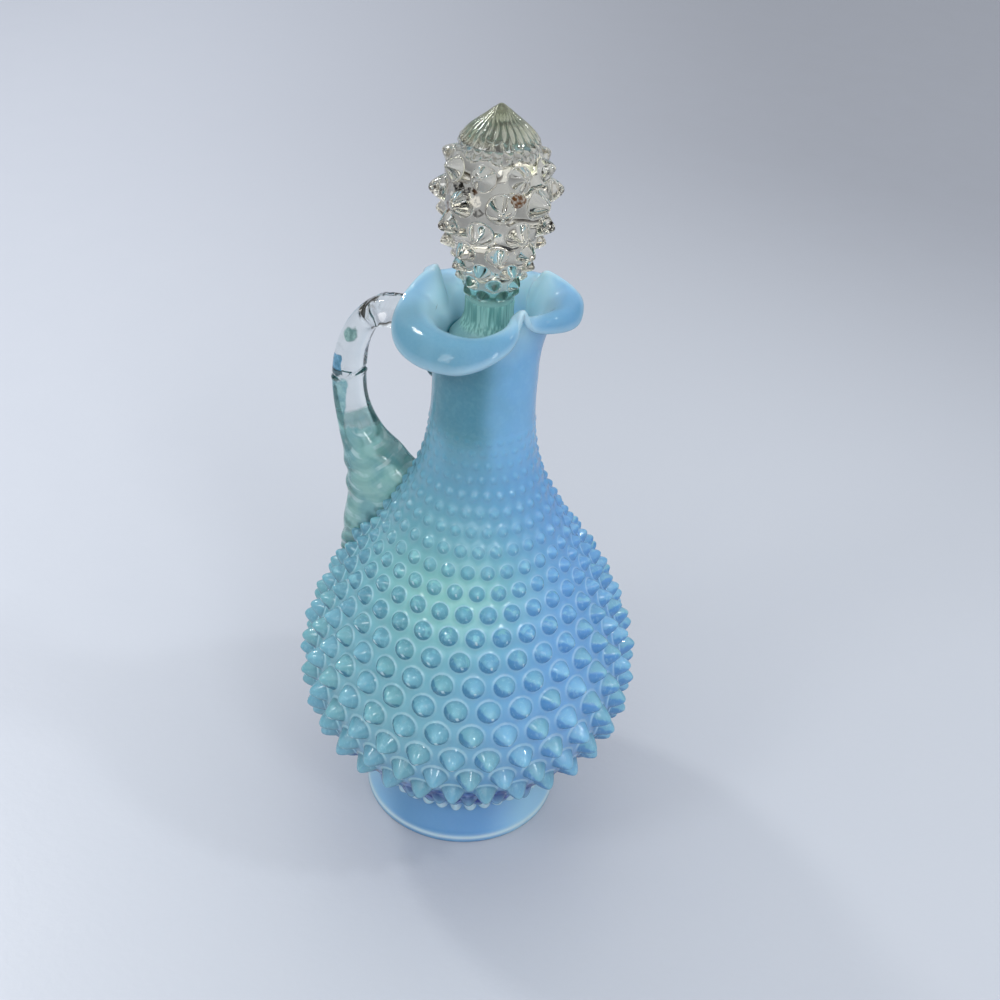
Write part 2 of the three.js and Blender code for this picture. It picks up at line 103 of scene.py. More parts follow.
HANDLE = [
    [14.0, 229.0, 14.0, 197.0, 9.0], [20.0, 228.2, 20.0, 198.0, 8.5], [24.0, 227.0, 24.0, 203.5, 7.5],
    [29.5, 225.8, 29.5, 209.0, 6.6], [36.5, 224.8, 36.8, 212.0, 6.2], [43.6, 223.4, 42.6, 211.3, 6.1],
    [50.4, 219.4, 46.9, 208.8, 6.0], [56.6, 212.0, 49.4, 204.0, 6.0], [61.2, 203.0, 51.4, 198.0, 6.0],
    [63.9, 193.6, 52.1, 191.6, 6.0], [64.7, 184.4, 52.4, 185.4, 6.1], [64.0, 175.4, 52.2, 179.0, 6.3],
    [62.2, 166.8, 50.9, 173.0, 6.8], [60.1, 158.6, 47.6, 166.6, 7.8], [58.3, 150.2, 40.4, 159.8, 9.0],
    [57.3, 141.0, 28.6, 151.6, 10.0], [57.3, 131.0, 30.0, 140.0, 10.4], [58.0, 121.4, 36.0, 128.0, 10.0],
    [59.3, 113.0, 43.0, 117.5, 8.8], [60.4, 106.0, 50.0, 109.0, 6.8], [60.5, 101.4, 55.0, 103.0, 3.6],
]

STOPPER_COLUMNS = 8
STOPPER_TURN = 33
FLUTES = 24
# bottom to top: radius, height, hob height
STOPPER_ROWS = [
    [9.1, 239.4, 1.3], [10.3, 244.2, 2.4], [12.1, 250.2, 3.3], [14.3, 257.2, 4.1], [16.6, 265.8, 4.7],
    [17.8, 275.6, 5.1], [15.6, 285.2, 4.3],
]
STOPPER_LOW = [[8.5, 229.0], [8.55, 232.6], [8.6, 236.0]]
STOPPER_HIGH = [[13.2, 292.0], [12.0, 296.0]]


# --------------------------------------------------------------- mesh building
class Build:
    """Collects points (mm), faces and per-point values, and makes one mesh object."""

    def __init__(self):
        self.xyz, self.values, self.faces, self.face_mat = [], {}, [], []
        self.count = 0

    def points(self, xyz, **values):
        xyz = np.asarray(xyz, float).reshape(-1, 3)
        ids = np.arange(self.count, self.count + len(xyz))
        self.xyz.append(xyz)
        for key in set(self.values) | set(values):
            self.values.setdefault(key, [np.zeros(self.count)] if self.count else [])
            v = values.get(key, 0.0)
            self.values[key].append(np.broadcast_to(np.asarray(v, float).ravel() if np.ndim(v) else v, (len(xyz),)).copy())
        self.count += len(xyz)
        return ids

    def quads(self, a, b, c, d, mat=0):
        f = np.stack([np.ravel(a), np.ravel(b), np.ravel(c), np.ravel(d)], 1)
        self.faces.extend(map(tuple, f.tolist()))
        self.face_mat.extend([mat] * len(f))

    def tris(self, a, b, c, mat=0):
        f = np.stack([np.ravel(a), np.ravel(b), np.ravel(c)], 1)
        self.faces.extend(map(tuple, f.tolist()))
        self.face_mat.extend([mat] * len(f))

    def strip(self, lower, upper, mat=0):
        """Closed strip between two rings of equal length that both run counter-clockwise."""
        n = len(lower)
        i = np.arange(n)
        j = (i + 1) % n
        self.quads(lower[i], lower[j], upper[j], upper[i], mat)

    def finer(self, lower, upper, k, mat=0):
        """Strip from a ring of n points to one of k * n points (k >= 1), or back if k is negative."""
        if k < 0:
            n = len(upper)
            for i in range(n):
                j = (i + 1) % n
                fine = [lower[(i * -k + s) % len(lower)] for s in range(-k + 1)]
                mid = (-k + 1) // 2
                for s in range(-k):
                    self.faces.append((fine[s], fine[s + 1], upper[i] if s < mid else upper[j]))
                    self.face_mat.append(mat)
                self.faces.append((fine[mid], upper[j], upper[i]))
                self.face_mat.append(mat)
            return
        n = len(lower)
        for i in range(n):
            j = (i + 1) % n
            fine = [upper[(i * k + s) % len(upper)] for s in range(k + 1)]
            mid = (k + 1) // 2
            for s in range(k):
                self.faces.append((fine[s + 1], fine[s], lower[i] if s < mid else lower[j]))
                self.face_mat.append(mat)
            self.faces.append((lower[i], lower[j], fine[mid]))
            self.face_mat.append(mat)

    def stitch(self, a, b, mat=0):
        """Joins ring a to ring b, whatever their counts; both counter-clockwise, b above or inside a."""
        P = np.concatenate(self.xyz)
        ta = np.unwrap(np.arctan2(P[a, 1], P[a, 0]))
        tb = np.arctan2(P[b, 1], P[b, 0])
        d = np.abs((tb - ta[0] + np.pi) % (2 * np.pi) - np.pi)
        k0 = int(np.argmin(d))
        b = np.roll(b, -k0)
        n, m, i, j = len(a), len(b), 0, 0
        while i < n or j < m:
            if j >= m or (i < n and (i + 1) / n <= (j + 1) / m):
                self.faces.append((a[i % n], a[(i + 1) % n], b[j % m]))
                i += 1
            else:
                self.faces.append((a[i % n], b[(j + 1) % m], b[j % m]))
                j += 1
            self.face_mat.append(mat)

    def fan(self, ring, point, up=True, mat=0, **values):
        c = self.points([point], **values)[0]
        n = len(ring)
        for i in range(n):
            a, b = ring[i], ring[(i + 1) % n]
            self.faces.append((a, b, c) if up else (b, a, c))
            self.face_mat.append(mat)

    def make(self, name, materials, merge=1e-3):
        xyz = np.concatenate(self.xyz)
        vals = {k: np.concatenate(v) for k, v in self.values.items()}
        key = np.round(xyz / merge).astype(np.int64)
        _, first, back = np.unique(key, axis=0, return_index=True, return_inverse=True)
        back = back.ravel()
        faces, mats = [], []
        for f, mt in zip(self.faces, self.face_mat):
            g = []
            for i in f:
                k = int(back[i])
                if k not in g:
                    g.append(k)
            if len(g) > 2:
                faces.append(g)
                mats.append(mt)
        mesh = bpy.data.meshes.new(name)
        mesh.from_pydata((xyz[first] * MM).tolist(), [], faces)
        mesh.polygons.foreach_set("material_index", np.array(mats, np.int32))
        mesh.polygons.foreach_set("use_smooth", np.ones(len(faces), bool))
        for k, v in vals.items():
            att = mesh.attributes.new(k, "FLOAT", "POINT")
            att.data.foreach_set("value", v[first].astype(np.float32))
        for m in materials:
            mesh.materials.append(m)
        mesh.validate()
        mesh.update()
        ob = bpy.data.objects.new(name, mesh)
        bpy.context.scene.collection.objects.link(ob)
        return ob


def spline(points):
    P = np.array(points, float)
    n = len(P)

    def at(t):
        t = np.clip(np.asarray(t, float), 0, n - 1)
        i = np.minimum(np.floor(t).astype(int), n - 2)
        w = (t - i)[..., None]
        p0, p1 = P[np.maximum(i - 1, 0)], P[i]
        p2, p3 = P[i + 1], P[np.minimum(i + 2, n - 1)]
        v0, v1 = (p2 - p0) / 2, (p3 - p1) / 2
        a, b = 2 * p1 - 2 * p2 + v0 + v1, -3 * p1 + 3 * p2 - 2 * v0 - v1
        return a * w**3 + b * w**2 + v0 * w + p1, 3 * a * w**2 + 2 * b * w + v0

    return at


def pchip(x, y, q):
    """Smooth interpolation that does not overshoot."""
    x, y = np.asarray(x, float), np.asarray(y, float)
    h = np.diff(x)
    d = np.diff(y) / h
    m = np.zeros(len(x))
    for i in range(1, len(x) - 1):
        if d[i - 1] * d[i] > 0:
            w1, w2 = 2 * h[i] + h[i - 1], h[i] + 2 * h[i - 1]
            m[i] = (w1 + w2) / (w1 / d[i - 1] + w2 / d[i])
    m[0], m[-1] = d[0], d[-1]
    i = np.clip(np.searchsorted(x, q, side="right") - 1, 0, len(x) - 2)
    t = (q - x[i]) / h[i]
    return (
        (2 * t**3 - 3 * t**2 + 1) * y[i] + (t**3 - 2 * t**2 + t) * h[i] * m[i]
        + (-2 * t**3 + 3 * t**2) * y[i + 1] + (t**3 - t**2) * h[i] * m[i + 1]
    )


def turned(r, z, deg):
    a = np.radians(deg)
    return np.stack([r * np.cos(a), r * np.sin(a), z + 0 * a], -1)


def hob_shape(x, sharp=0.42, x0=0.9):
    """Height of a hob, 1 at its tip and 0 at its round base x = 1, with a small fillet at the base from x0 on."""
    x = np.asarray(x, float)
    top = math.sqrt(1 + sharp**2)
    g = (top - np.sqrt(x**2 + sharp**2)) / (top - sharp)
    g0 = (top - math.sqrt(x0**2 + sharp**2)) / (top - sharp)
    s0 = x0 / math.sqrt(x0**2 + sharp**2) / (top - sharp)
    end = x0 + 2 * g0 / s0
    f = g0 * np.clip((end - x) / (end - x0), 0, 1) ** 2
    return np.where(x < x0, g, f)


def hob_cells(b, surface, rows, columns, turn, radius, height, rings, k, sharp=0.42, fillet=0.9, parity=0, deep=None, twist=None):
    """Hob lattice on surface(t): rows are whole numbers of t, and columns are staggered from row to row.
    Every cell is a hexagon round one hob, made of rings round its tip. Returns the lower and upper zigzag rings."""
    step = 180.0 / columns
    hexagon = np.array([[-1, -1 / 3], [0, -2 / 3], [1, -1 / 3], [1, 1 / 3], [0, 2 / 3], [-1, 1 / 3]])
    edge = []
    for e in range(6):
        a, c = hexagon[e], hexagon[(e + 1) % 6]
        for s in range(k):
            edge.append(a + (c - a) * s / k)
    edge = np.array(edge)
    n = len(edge)

    def place(deg, t, h):
        p, d = surface(t)
        d = d / np.linalg.norm(d, axis=-1, keepdims=True)
        if twist:
            deg = deg + twist(p[..., 1])
        return turned(p[..., 0] + d[..., 1] * h, p[..., 1] - d[..., 0] * h, deg)

    for row in rows:
        c0, d0 = surface(float(row))
        speed = np.linalg.norm(d0)
        rho, tall, steps = radius(row, c0), height(row, c0), rings(row)
        dist = np.hypot(np.radians(edge[:, 0] * step) * c0[0], edge[:, 1] * speed)
        f = rho / dist
        down = -edge[:, 1] * speed / dist
        right = np.radians(edge[:, 0] * step) * c0[0] / dist
        shade = 0.0 if deep is None else deep(row)
        first = (row + parity) % 2
        for col in range(columns):
            deg0 = turn + step * (2 * col + first)
            seed = 0.5 + 0.5 * math.sin(12.9898 * row + 78.233 * col)
            centre = b.points(place(np.array([deg0]), np.array([float(row)]), np.array([tall])), hob=1.0, seed=seed, span=0.0, down=0.0, right=0.0, deep=shade * 0.3)
            last = None
            for q in list(steps) + [None]:
                g = np.ones(n) if q is None else np.minimum(q * f, 0.985)
                x = g / f
                h = tall * hob_shape(x, sharp, fillet)
                ids = b.points(
                    place(deg0 + edge[:, 0] * step * g, row + edge[:, 1] * g, h),
                    hob=np.clip(hob_shape(x, sharp, fillet), 0, 1) if q is not None else 0.0,
                    seed=seed if q is not None else 0.5,
                    span=np.minimum(x, 2.0), down=down * np.minimum(x, 1.0), right=right * np.minimum(x, 1.0),
                    deep=shade * np.clip(x, 0.3, 1.0),
                )
                if last is None:
                    i = np.arange(n)
                    b.tris(ids[i], ids[(i + 1) % n], np.full(n, centre[0]))
                else:
                    i = np.arange(n)
                    j = (i + 1) % n
                    b.quads(ids[i], ids[j], last[j], last[i])
                last = ids

    def zigzag(row):
        out = []
        m = np.arange(2 * columns)
        t = np.where((m + row + parity) % 2 == 1, row + 1 / 3, row + 2 / 3)
        for i in range(2 * columns):
            for s in range(k):
                out.append((turn + step * (i + s / k), t[i] + (t[(i + 1) % (2 * columns)] - t[i]) * s / k))
        out = np.array(out)
        return b.points(place(out[:, 0], out[:, 1], 0 * out[:, 1]), span=2.0, seed=0.5), out[:, 0]

    return zigzag(rows[0] - 1), zigzag(rows[-1])


# -------------------------------------------------------------------- materials
def material(name):
    m = bpy.data.materials.new(name)
    m.use_nodes = True
    t = m.node_tree
    t.nodes.clear()
    return m, t


class Net:
    """A short way to write shader nodes."""

    def __init__(self, tree):
        self.t = tree

    def node(self, kind, **props):
        n = self.t.nodes.new(kind)
        for k, v in props.items():
            setattr(n, k, v)
        return n

    def put(self, socket, value):
        if isinstance(value, bpy.types.NodeSocket):
            self.t.links.new(value, socket)
        elif value is not None:
            socket.default_value = value

    def math(self, op, a, b=None, c=None, clamp=False):
        n = self.node("ShaderNodeMath", operation=op, use_clamp=clamp)
        self.put(n.inputs[0], a)
        self.put(n.inputs[1], b)
        self.put(n.inputs[2], c)
        return n.outputs[0]

    def range(self, v, a, b, c=0.0, d=1.0, kind="SMOOTHSTEP"):
        n = self.node("ShaderNodeMapRange", interpolation_type=kind)
        self.put(n.inputs["Value"], v)
        for key, x in (("From Min", a), ("From Max", b), ("To Min", c), ("To Max", d)):
            self.put(n.inputs[key], x)
        return n.outputs[0]

    def mix(self, f, a, b, blend="MIX"):
        n = self.node("ShaderNodeMix", data_type="RGBA", blend_type=blend)
        self.put(n.inputs[0], f)
        self.put(n.inputs[6], a)
        self.put(n.inputs[7], b)
        return n.outputs[2]

    def noise(self, vector, scale, detail=2.0, rough=0.5, kind="Fac"):
        n = self.node("ShaderNodeTexNoise")
        self.put(n.inputs["Vector"], vector)
        n.inputs["Scale"].default_value = scale
        n.inputs["Detail"].default_value = detail
        n.inputs["Roughness"].default_value = rough
        return n.outputs[kind]

    def attribute(self, name):
        n = self.node("ShaderNodeAttribute", attribute_name=name)
        return n.outputs["Fac"]

    def vector(self, op, a, b=None):
        n = self.node("ShaderNodeVectorMath", operation=op)
        self.put(n.inputs[0], a)
        self.put(n.inputs[1], b)
        return n.outputs["Value"] if op in ("DOT_PRODUCT", "LENGTH", "DISTANCE") else n.outputs["Vector"]

    def bump(self, height, strength, distance, normal=None):
        n = self.node("ShaderNodeBump")
        self.put(n.inputs["Height"], height)
        n.inputs["Strength"].default_value = strength
        n.inputs["Distance"].default_value = distance
        self.put(n.inputs["Normal"], normal)
        return n.outputs[0]


def srgb(code):
    code = code.lstrip("#")
    out = []
    for i in (0, 2, 4):
        c = int(code[i:i + 2], 16) / 255
        out.append(c / 12.92 if c <= 0.04045 else ((c + 0.055) / 1.055) ** 2.4)
    return (*out, 1.0)


WEB_TEAL, WEB_BLUE, WEB_LOW, WEB_HAZE = "#8ECCD8", "#8AC4F4", "#7DB6EC", "#9CDCD1"
NECK_TEAL, NECK_BLUE, NECK_PLUG_SHADE = "#76B2C8", "#8ECEFA", "#3F8B9C"
HOB_TEAL, HOB_BLUE, HOB_LOW = "#4A88A2", "#66A4DA", "#5692BC"
TIP_TEAL, TIP_BLUE, TIP_GREEN, TIP_LOW = "#84C0D0", "#92CCEC", "#88C2C0", "#84B8D2"
LINE_TEAL, LINE_BLUE = "#C0ECF4", "#B8E2FC"
RIM_TEAL, RIM_BLUE, RIM_GREY, RIM_PAINTED_GLOW, RIM_BACK_PAINTED_LIGHT = "#6EA0B8", "#72A6CA", "#6E98A2", "#D2F4FF", "#A8D4F0"
FOOT_TEAL, FOOT_BLUE = "#70A9D6", "#80B8EE"
EDGE_PALE_AND_HIGHLIGHT, CREVICE_SHADE, VIOLET_SHADE, BEAD = "#E0F6FF", "#123494", "#5852C6", "#D2F2FF"


def opal_glass():
    m, t = material("opal_blue_glass")
    n = Net(t)
    out = n.node("ShaderNodeOutputMaterial")
    p = n.node("ShaderNodeBsdfPrincipled")
    back = n.node("ShaderNodeBsdfTranslucent")
    both = n.node("ShaderNodeMixShader")
    t.links.new(p.outputs[0], both.inputs[1])
    t.links.new(back.outputs[0], both.inputs[2])
    t.links.new(both.outputs[0], out.inputs[0])
    co = n.node("ShaderNodeTexCoord").outputs["Object"]
    sep = n.node("ShaderNodeSeparateXYZ")
    t.links.new(co, sep.inputs[0])
    x, y, z = sep.outputs
    seed, rim, deep, edge, span, down, right, bead, foot = (
        n.attribute(k) for k in ("seed", "rim", "deep", "edge", "span", "down", "right", "bead", "foot"))
    n.put(both.inputs[0], n.math("SUBTRACT", 0.28, n.math("MULTIPLY", rim, 0.10)))
    # teal towards the handle, cornflower blue towards the spout
    across = n.math("ADD", n.math("MULTIPLY", x, 0.80), n.math("MULTIPLY", y, 0.45))
    cloud = n.noise(co, 26.0, 3.0, 0.55)
    across = n.math("ADD", across, n.math("MULTIPLY", n.math("SUBTRACT", cloud, 0.5), 0.030))
    side = n.range(across, -0.030, 0.036)
    web = n.mix(side, srgb(WEB_TEAL), srgb(WEB_BLUE))
    # the lower belly is a deeper blue
    low = n.range(z, 0.085, 0.030)
    web = n.mix(n.math("MULTIPLY", low, 0.75), web, srgb(WEB_LOW))
    # milky green haze on the upper belly
    spot = n.vector("DISTANCE", co, (0.009, -0.035, 0.137))
    haze = n.math("MULTIPLY", n.range(spot, 0.050, 0.004), n.math("ADD", n.math("MULTIPLY", cloud, 0.9), 0.45), clamp=True)
    web = n.mix(n.math("MULTIPLY", haze, 0.9), web, srgb(WEB_HAZE))
    middle = n.math("ADD", n.math("MULTIPLY", x, 0.891), n.math("MULTIPLY", y, 0.454))
    # neck: darker teal towards the handle, painted shade where the hollow shows through; blue on the spout side
    neck = n.range(z, 0.146, 0.192)
    neck_side = n.range(across, -0.006, 0.013)
    neck_colour = n.mix(neck_side, srgb(NECK_TEAL), srgb(NECK_BLUE))
    # painted shade: the plug shows through the neck as a darker shape, with a darker streak below it, both placed
    # across a fixed direction, the camera's right
    plug_z = n.math("ADD", z, n.math("MULTIPLY", n.math("SUBTRACT", cloud, 0.5), 0.02))
    plug = n.math("MULTIPLY", n.range(plug_z, 0.183, 0.193), n.math("MULTIPLY", n.range(middle, -0.0190, -0.0168), n.range(middle, 0.0050, -0.0030)))
    neck_colour = n.mix(plug, neck_colour, srgb(NECK_PLUG_SHADE))
    plug_shade_tail = n.math("MULTIPLY", n.math("MULTIPLY", n.range(z, 0.160, 0.172), n.range(z, 0.196, 0.184)), n.math("MULTIPLY", n.range(middle, -0.0150, -0.0105), n.range(middle, 0.0060, 0.0005)))
    neck_colour = n.mix(n.math("MULTIPLY", plug_shade_tail, 0.5), neck_colour, srgb("#4F9098"))
    web = n.mix(n.math("MULTIPLY", neck, 0.85), web, neck_colour)
    slope = n.math("MULTIPLY", n.range(z, 0.128, 0.150), n.range(z, 0.186, 0.166))
    web = n.mix(n.math("MULTIPLY", slope, n.math("SUBTRACT", 0.42, n.math("MULTIPLY", side, 0.20))), web, n.mix(side, srgb("#4F8FAE"), srgb("#5C9CE8")))
    # each hob: pale green above and painted shade low on its left, a darker ring near its base, fine streaks of painted
    # sparkle, and a pale line round its base that is a painted highlight
    inside = n.range(span, 1.02, 0.94)
    dark = n.mix(side, srgb(HOB_TEAL), srgb(HOB_BLUE))
    pale = n.mix(side, srgb(TIP_TEAL), srgb(TIP_BLUE))
    pale = n.mix(n.math("MULTIPLY", n.range(seed, 0.2, 0.9), 0.5), pale, srgb(TIP_GREEN))
    dark = n.mix(n.math("MULTIPLY", low, 0.8), dark, srgb(HOB_LOW))
    pale = n.mix(n.math("MULTIPLY", low, 0.6), pale, srgb(TIP_LOW))
    pale = n.mix(n.math("MULTIPLY", haze, 0.5), pale, srgb(WEB_HAZE))
    dark = n.mix(n.math("MULTIPLY", haze, 0.15), dark, srgb(WEB_HAZE))
    speck = n.noise(n.vector("MULTIPLY", co, (1.0, 1.0, 0.45)), 800.0, 2.0, 0.6)
    blot = n.noise(co, 330.0, 1.0)
    under = n.math("SUBTRACT", down, n.math("MULTIPLY", right, 0.55))
    under = n.math("ADD", under, n.math("MULTIPLY", n.math("SUBTRACT", blot, 0.5), 0.7))
    under = n.math("ADD", under, n.math("MULTIPLY", n.math("SUBTRACT", seed, 0.5), 0.30))
    shade = n.math("MULTIPLY", n.range(under, -0.04, 0.24), n.range(span, 0.10, 0.40, 0.55, 1.0))
    # the small hobs of the upper belly are dark nearly all over
    shade = n.math("MAXIMUM", shade, n.math("MULTIPLY", n.range(z, 0.098, 0.128, 0.0, 0.80), n.range(blot, 0.66, 0.50)))
    hob_colour = n.mix(n.math("MAXIMUM", shade, n.math("MULTIPLY", n.range(span, 0.80, 0.95), 0.35)), pale, dark)
    # painted sparkle: fine light specks on the hobs
    hob_colour = n.mix(n.math("MULTIPLY", n.range(speck, 0.54, 0.68), 0.26), hob_colour, srgb(LINE_TEAL))
    # painted highlight: a short bright streak right of the tip, longer on some hobs than on others
    lean = n.math("SUBTRACT", n.math("SUBTRACT", right, n.math("MULTIPLY", seed, 0.22)), n.math("MULTIPLY", down, 0.25))
    streak = n.math("MULTIPLY", n.range(n.math("ABSOLUTE", lean), 0.15, 0.05), n.math("MULTIPLY", n.range(down, 0.02, 0.16), n.range(down, 0.62, 0.40)))
    streak = n.math("MULTIPLY", streak, n.math("ADD", n.math("MULTIPLY", n.range(blot, 0.40, 0.54), 0.75), 0.20))
    strength = n.math("MULTIPLY", inside, n.range(z, 0.168, 0.112, 0.10, 0.95))
    colour = n.mix(strength, web, hob_colour)
    colour = n.mix(n.math("MULTIPLY", streak, strength), colour, srgb("#E6FAFF"))
    base_highlight = n.math("MULTIPLY", n.range(span, 0.93, 1.00), n.range(span, 1.24, 1.04))
    # the line, a painted highlight, is brightest above a hob, most of all on the lower belly, and fades out on the neck
    above = n.range(down, 0.35, -0.55)
    bright = n.math("ADD", n.math("MULTIPLY", above, n.range(z, 0.100, 0.055, 0.40, 0.85)), n.range(z, 0.080, 0.040, 0.30, 0.10))
    base_highlight = n.math("MULTIPLY", base_highlight, n.math("MULTIPLY", bright, n.range(z, 0.160, 0.118, 0.04, 1.0)))
    colour = n.mix(base_highlight, colour, n.mix(side, srgb(LINE_TEAL), srgb(LINE_BLUE)))
    # rim: lighter sky blue, paler still at its edge
    rim_colour = n.mix(side, srgb(RIM_TEAL), srgb(RIM_BLUE))
    hollow = n.range(n.noise(co, 34.0, 2.0), 0.42, 0.66)
    rim_colour = n.mix(n.math("MULTIPLY", hollow, 0.35), rim_colour, srgb(RIM_GREY))
    funnel = n.range(n.vector("LENGTH", n.vector("MULTIPLY", co, (1.0, 1.0, 0.0))), 0.0270, 0.0190)
    away = n.math("SUBTRACT", n.math("MULTIPLY", y, 0.89), n.math("MULTIPLY", x, 0.45))
    # painted light: paler on the side away from the camera, where the inner faces of the lobes show
    rim_colour = n.mix(n.range(away, -0.006, 0.014), rim_colour, srgb(RIM_BACK_PAINTED_LIGHT))
    # painted light: near white far down in the funnel, as if it glowed with light coming through the glass
    rim_colour = n.mix(n.math("MULTIPLY", funnel, 0.8), rim_colour, srgb(RIM_PAINTED_GLOW))
    colour = n.mix(n.math("MULTIPLY", rim, 0.92), colour, rim_colour)
    # foot, with painted highlights at its sides and on its pale ridge, painted shade next to the body, and the glassy
    # beads above it
    foot_colour = n.mix(side, srgb(FOOT_TEAL), srgb(FOOT_BLUE))
    # painted highlight: paler on the foot's left and right sides, across the camera's right
    foot_colour = n.mix(n.range(n.math("ABSOLUTE", n.math("ADD", middle, 0.006)), 0.014, 0.036), foot_colour, srgb("#B0E2FF"))
    # painted shade: darker blue where the foot meets the body
    foot_colour = n.mix(n.range(n.vector("LENGTH", n.vector("MULTIPLY", co, (1.0, 1.0, 0.0))), 0.0370, 0.0300), foot_colour, srgb("#5C92CC"))
    colour = n.mix(n.math("MULTIPLY", foot, 0.9), colour, foot_colour)
    # pale edge colour: on the foot a painted highlight along its ridge, on the rim the pale lip of the glass with a
    # painted highlight
    colour = n.mix(n.math("MULTIPLY", edge, n.math("SUBTRACT", 0.9, n.math("MULTIPLY", rim, 0.60))), colour, srgb(EDGE_PALE_AND_HIGHLIGHT))
    # painted shade: violet and dark blue in the crevice under the belly, where the glass is also thick
    crevice = n.range(n.noise(co, 260.0, 1.0), 0.40, 0.58)
    colour = n.mix(n.math("MULTIPLY", deep, n.math("ADD", n.math("MULTIPLY", crevice, 0.45), 0.50), clamp=True), colour, n.mix(crevice, srgb(VIOLET_SHADE), srgb(CREVICE_SHADE)))
    colour = n.mix(n.math("MULTIPLY", bead, 0.9), colour, srgb(BEAD))
    fine = n.noise(co, 900.0, 2.0)
    colour = n.mix(n.math("MULTIPLY", fine, 0.08), colour, srgb(LINE_TEAL))
    n.put(p.inputs["Base Color"], colour)
    n.put(back.inputs["Color"], colour)
    n.put(p.inputs["Roughness"], n.range(n.noise(co, 60.0, 2.0), 0.3, 0.7, 0.04, 0.09, "LINEAR"))
    p.inputs["IOR"].default_value = 1.5
    p.inputs["Subsurface Weight"].default_value = 0.45
    p.inputs["Subsurface Radius"].default_value = (0.5, 0.9, 1.0)
    p.inputs["Subsurface Scale"].default_value = 0.005
    broad = n.math("MULTIPLY", rim, n.math("SUBTRACT", 1.0, edge))
    n.put(p.inputs["Specular IOR Level"], n.math("SUBTRACT", 0.5, n.math("MULTIPLY", broad, 0.32)))
    n.put(p.inputs["Coat Weight"], n.math("SUBTRACT", 0.32, n.math("MULTIPLY", broad, 0.28)))
    p.inputs["Coat Roughness"].default_value = 0.03
    ripple = n.math("MULTIPLY", speck, n.math("MULTIPLY", inside, 0.22))
    relief = n.math("ADD", ripple, n.noise(co, 120.0, 3.0))
    n.put(p.inputs["Normal"], n.bump(relief, 0.16, 0.0007))
    return m


def clear_glass(name, colour, rough=0.0, relief=None, absorb=None, density=0.0, clear=None):
    m, t = material(name)
    n = Net(t)
    out = n.node("ShaderNodeOutputMaterial")
    p = n.node("ShaderNodeBsdfPrincipled")
    t.links.new(p.outputs[0], out.inputs[0])
    co = n.node("ShaderNodeTexCoord").outputs["Object"]
    n.put(p.inputs["Base Color"], colour(n, co))
    p.inputs["IOR"].default_value = 1.5
    if clear:
        n.put(p.inputs["Transmission Weight"], clear(n, co))
    else:
        p.inputs["Transmission Weight"].default_value = 1.0
    n.put(p.inputs["Roughness"], n.range(n.noise(co, 90.0, 2.0), 0.3, 0.7, rough, rough + 0.012, "LINEAR"))
    if relief:
        n.put(p.inputs["Normal"], relief(n, co))
    if absorb:
        v = n.node("ShaderNodeVolumeAbsorption")
        v.inputs["Color"].default_value = srgb(absorb)
        v.inputs["Density"].default_value = density
        t.links.new(v.outputs[0], out.inputs["Volume"])
    return m


def patch(n, x, z, at, size, soft=0.35):
    """1 inside an upright ellipse in the plane of the handle, with a soft edge."""
    dx = n.math("DIVIDE", n.math("SUBTRACT", x, at[0]), size[0])
    dz = n.math("DIVIDE", n.math("SUBTRACT", z, at[1]), size[1])
    d = n.math("SQRT", n.math("ADD", n.math("MULTIPLY", dx, dx), n.math("MULTIPLY", dz, dz)))
    return n.range(d, 1.0 + soft, 1.0 - soft)


def handle_marks(n, co):
    """Where the bow has its streaks, its fold with painted shade, the painted highlight in the fold, and the thick
    glass at its foot.
    """
    sep = n.node("ShaderNodeSeparateXYZ")
    n.t.links.new(co, sep.inputs[0])
    x, y, z = sep.outputs
    near = n.range(y, 0.0012, -0.0020)
    wobble = n.math("MULTIPLY", n.math("SUBTRACT", n.noise(co, 150.0, 2.0), 0.5), 0.004)
    x, z = n.math("ADD", x, wobble), n.math("ADD", z, n.math("MULTIPLY", wobble, 1.6))
    strip = n.math("MULTIPLY", n.range(x, -0.0552, -0.0562), n.math("MULTIPLY", n.range(z, 0.186, 0.1845), n.range(z, 0.160, 0.166)))
    outer = n.range(x, -0.0580, -0.0586)
    blue = n.math("MULTIPLY", outer, n.math("MULTIPLY", n.range(z, 0.1884, 0.1888), n.range(z, 0.1958, 0.1950)))
    teal = patch(n, x, z, (-0.0540, 0.2066), (0.0026, 0.0030), 0.2)
    spot = n.math("MULTIPLY", outer, n.math("MULTIPLY", n.range(z, 0.1862, 0.1866), n.range(z, 0.1890, 0.1886)))
    # painted shade: a dark crescent in the fold, with a fainter ring inside it
    dx, dz = n.math("ADD", x, 0.0439), n.math("SUBTRACT", z, 0.2178)
    d = n.math("SQRT", n.math("ADD", n.math("MULTIPLY", dx, dx), n.math("MULTIPLY", dz, dz)))
    along = n.math("DIVIDE", n.math("ADD", n.math("MULTIPLY", dx, -0.93), n.math("MULTIPLY", dz, 0.37)), d)
    band = n.math("ABSOLUTE", n.math("SUBTRACT", d, 0.0056))
    fold = n.math("MULTIPLY", n.range(band, 0.0019, 0.0013), n.range(along, 0.25, 0.60))
    rib = n.math("ABSOLUTE", n.math("SUBTRACT", d, 0.0030))
    fold = n.math("MAXIMUM", fold, n.math("MULTIPLY", n.math("MULTIPLY", n.range(rib, 0.0007, 0.0003), n.range(along, -0.2, 0.3)), 0.45))
    # painted highlight: a bright spot in the fold
    heart_highlight = patch(n, x, z, (-0.0402, 0.2181), (0.0017, 0.0019), 0.2)
    low = n.range(z, 0.1680, 0.1650)
    return [n.math("MULTIPLY", v, near) for v in (strip, blue, teal, spot, fold, heart_highlight)] + [low]


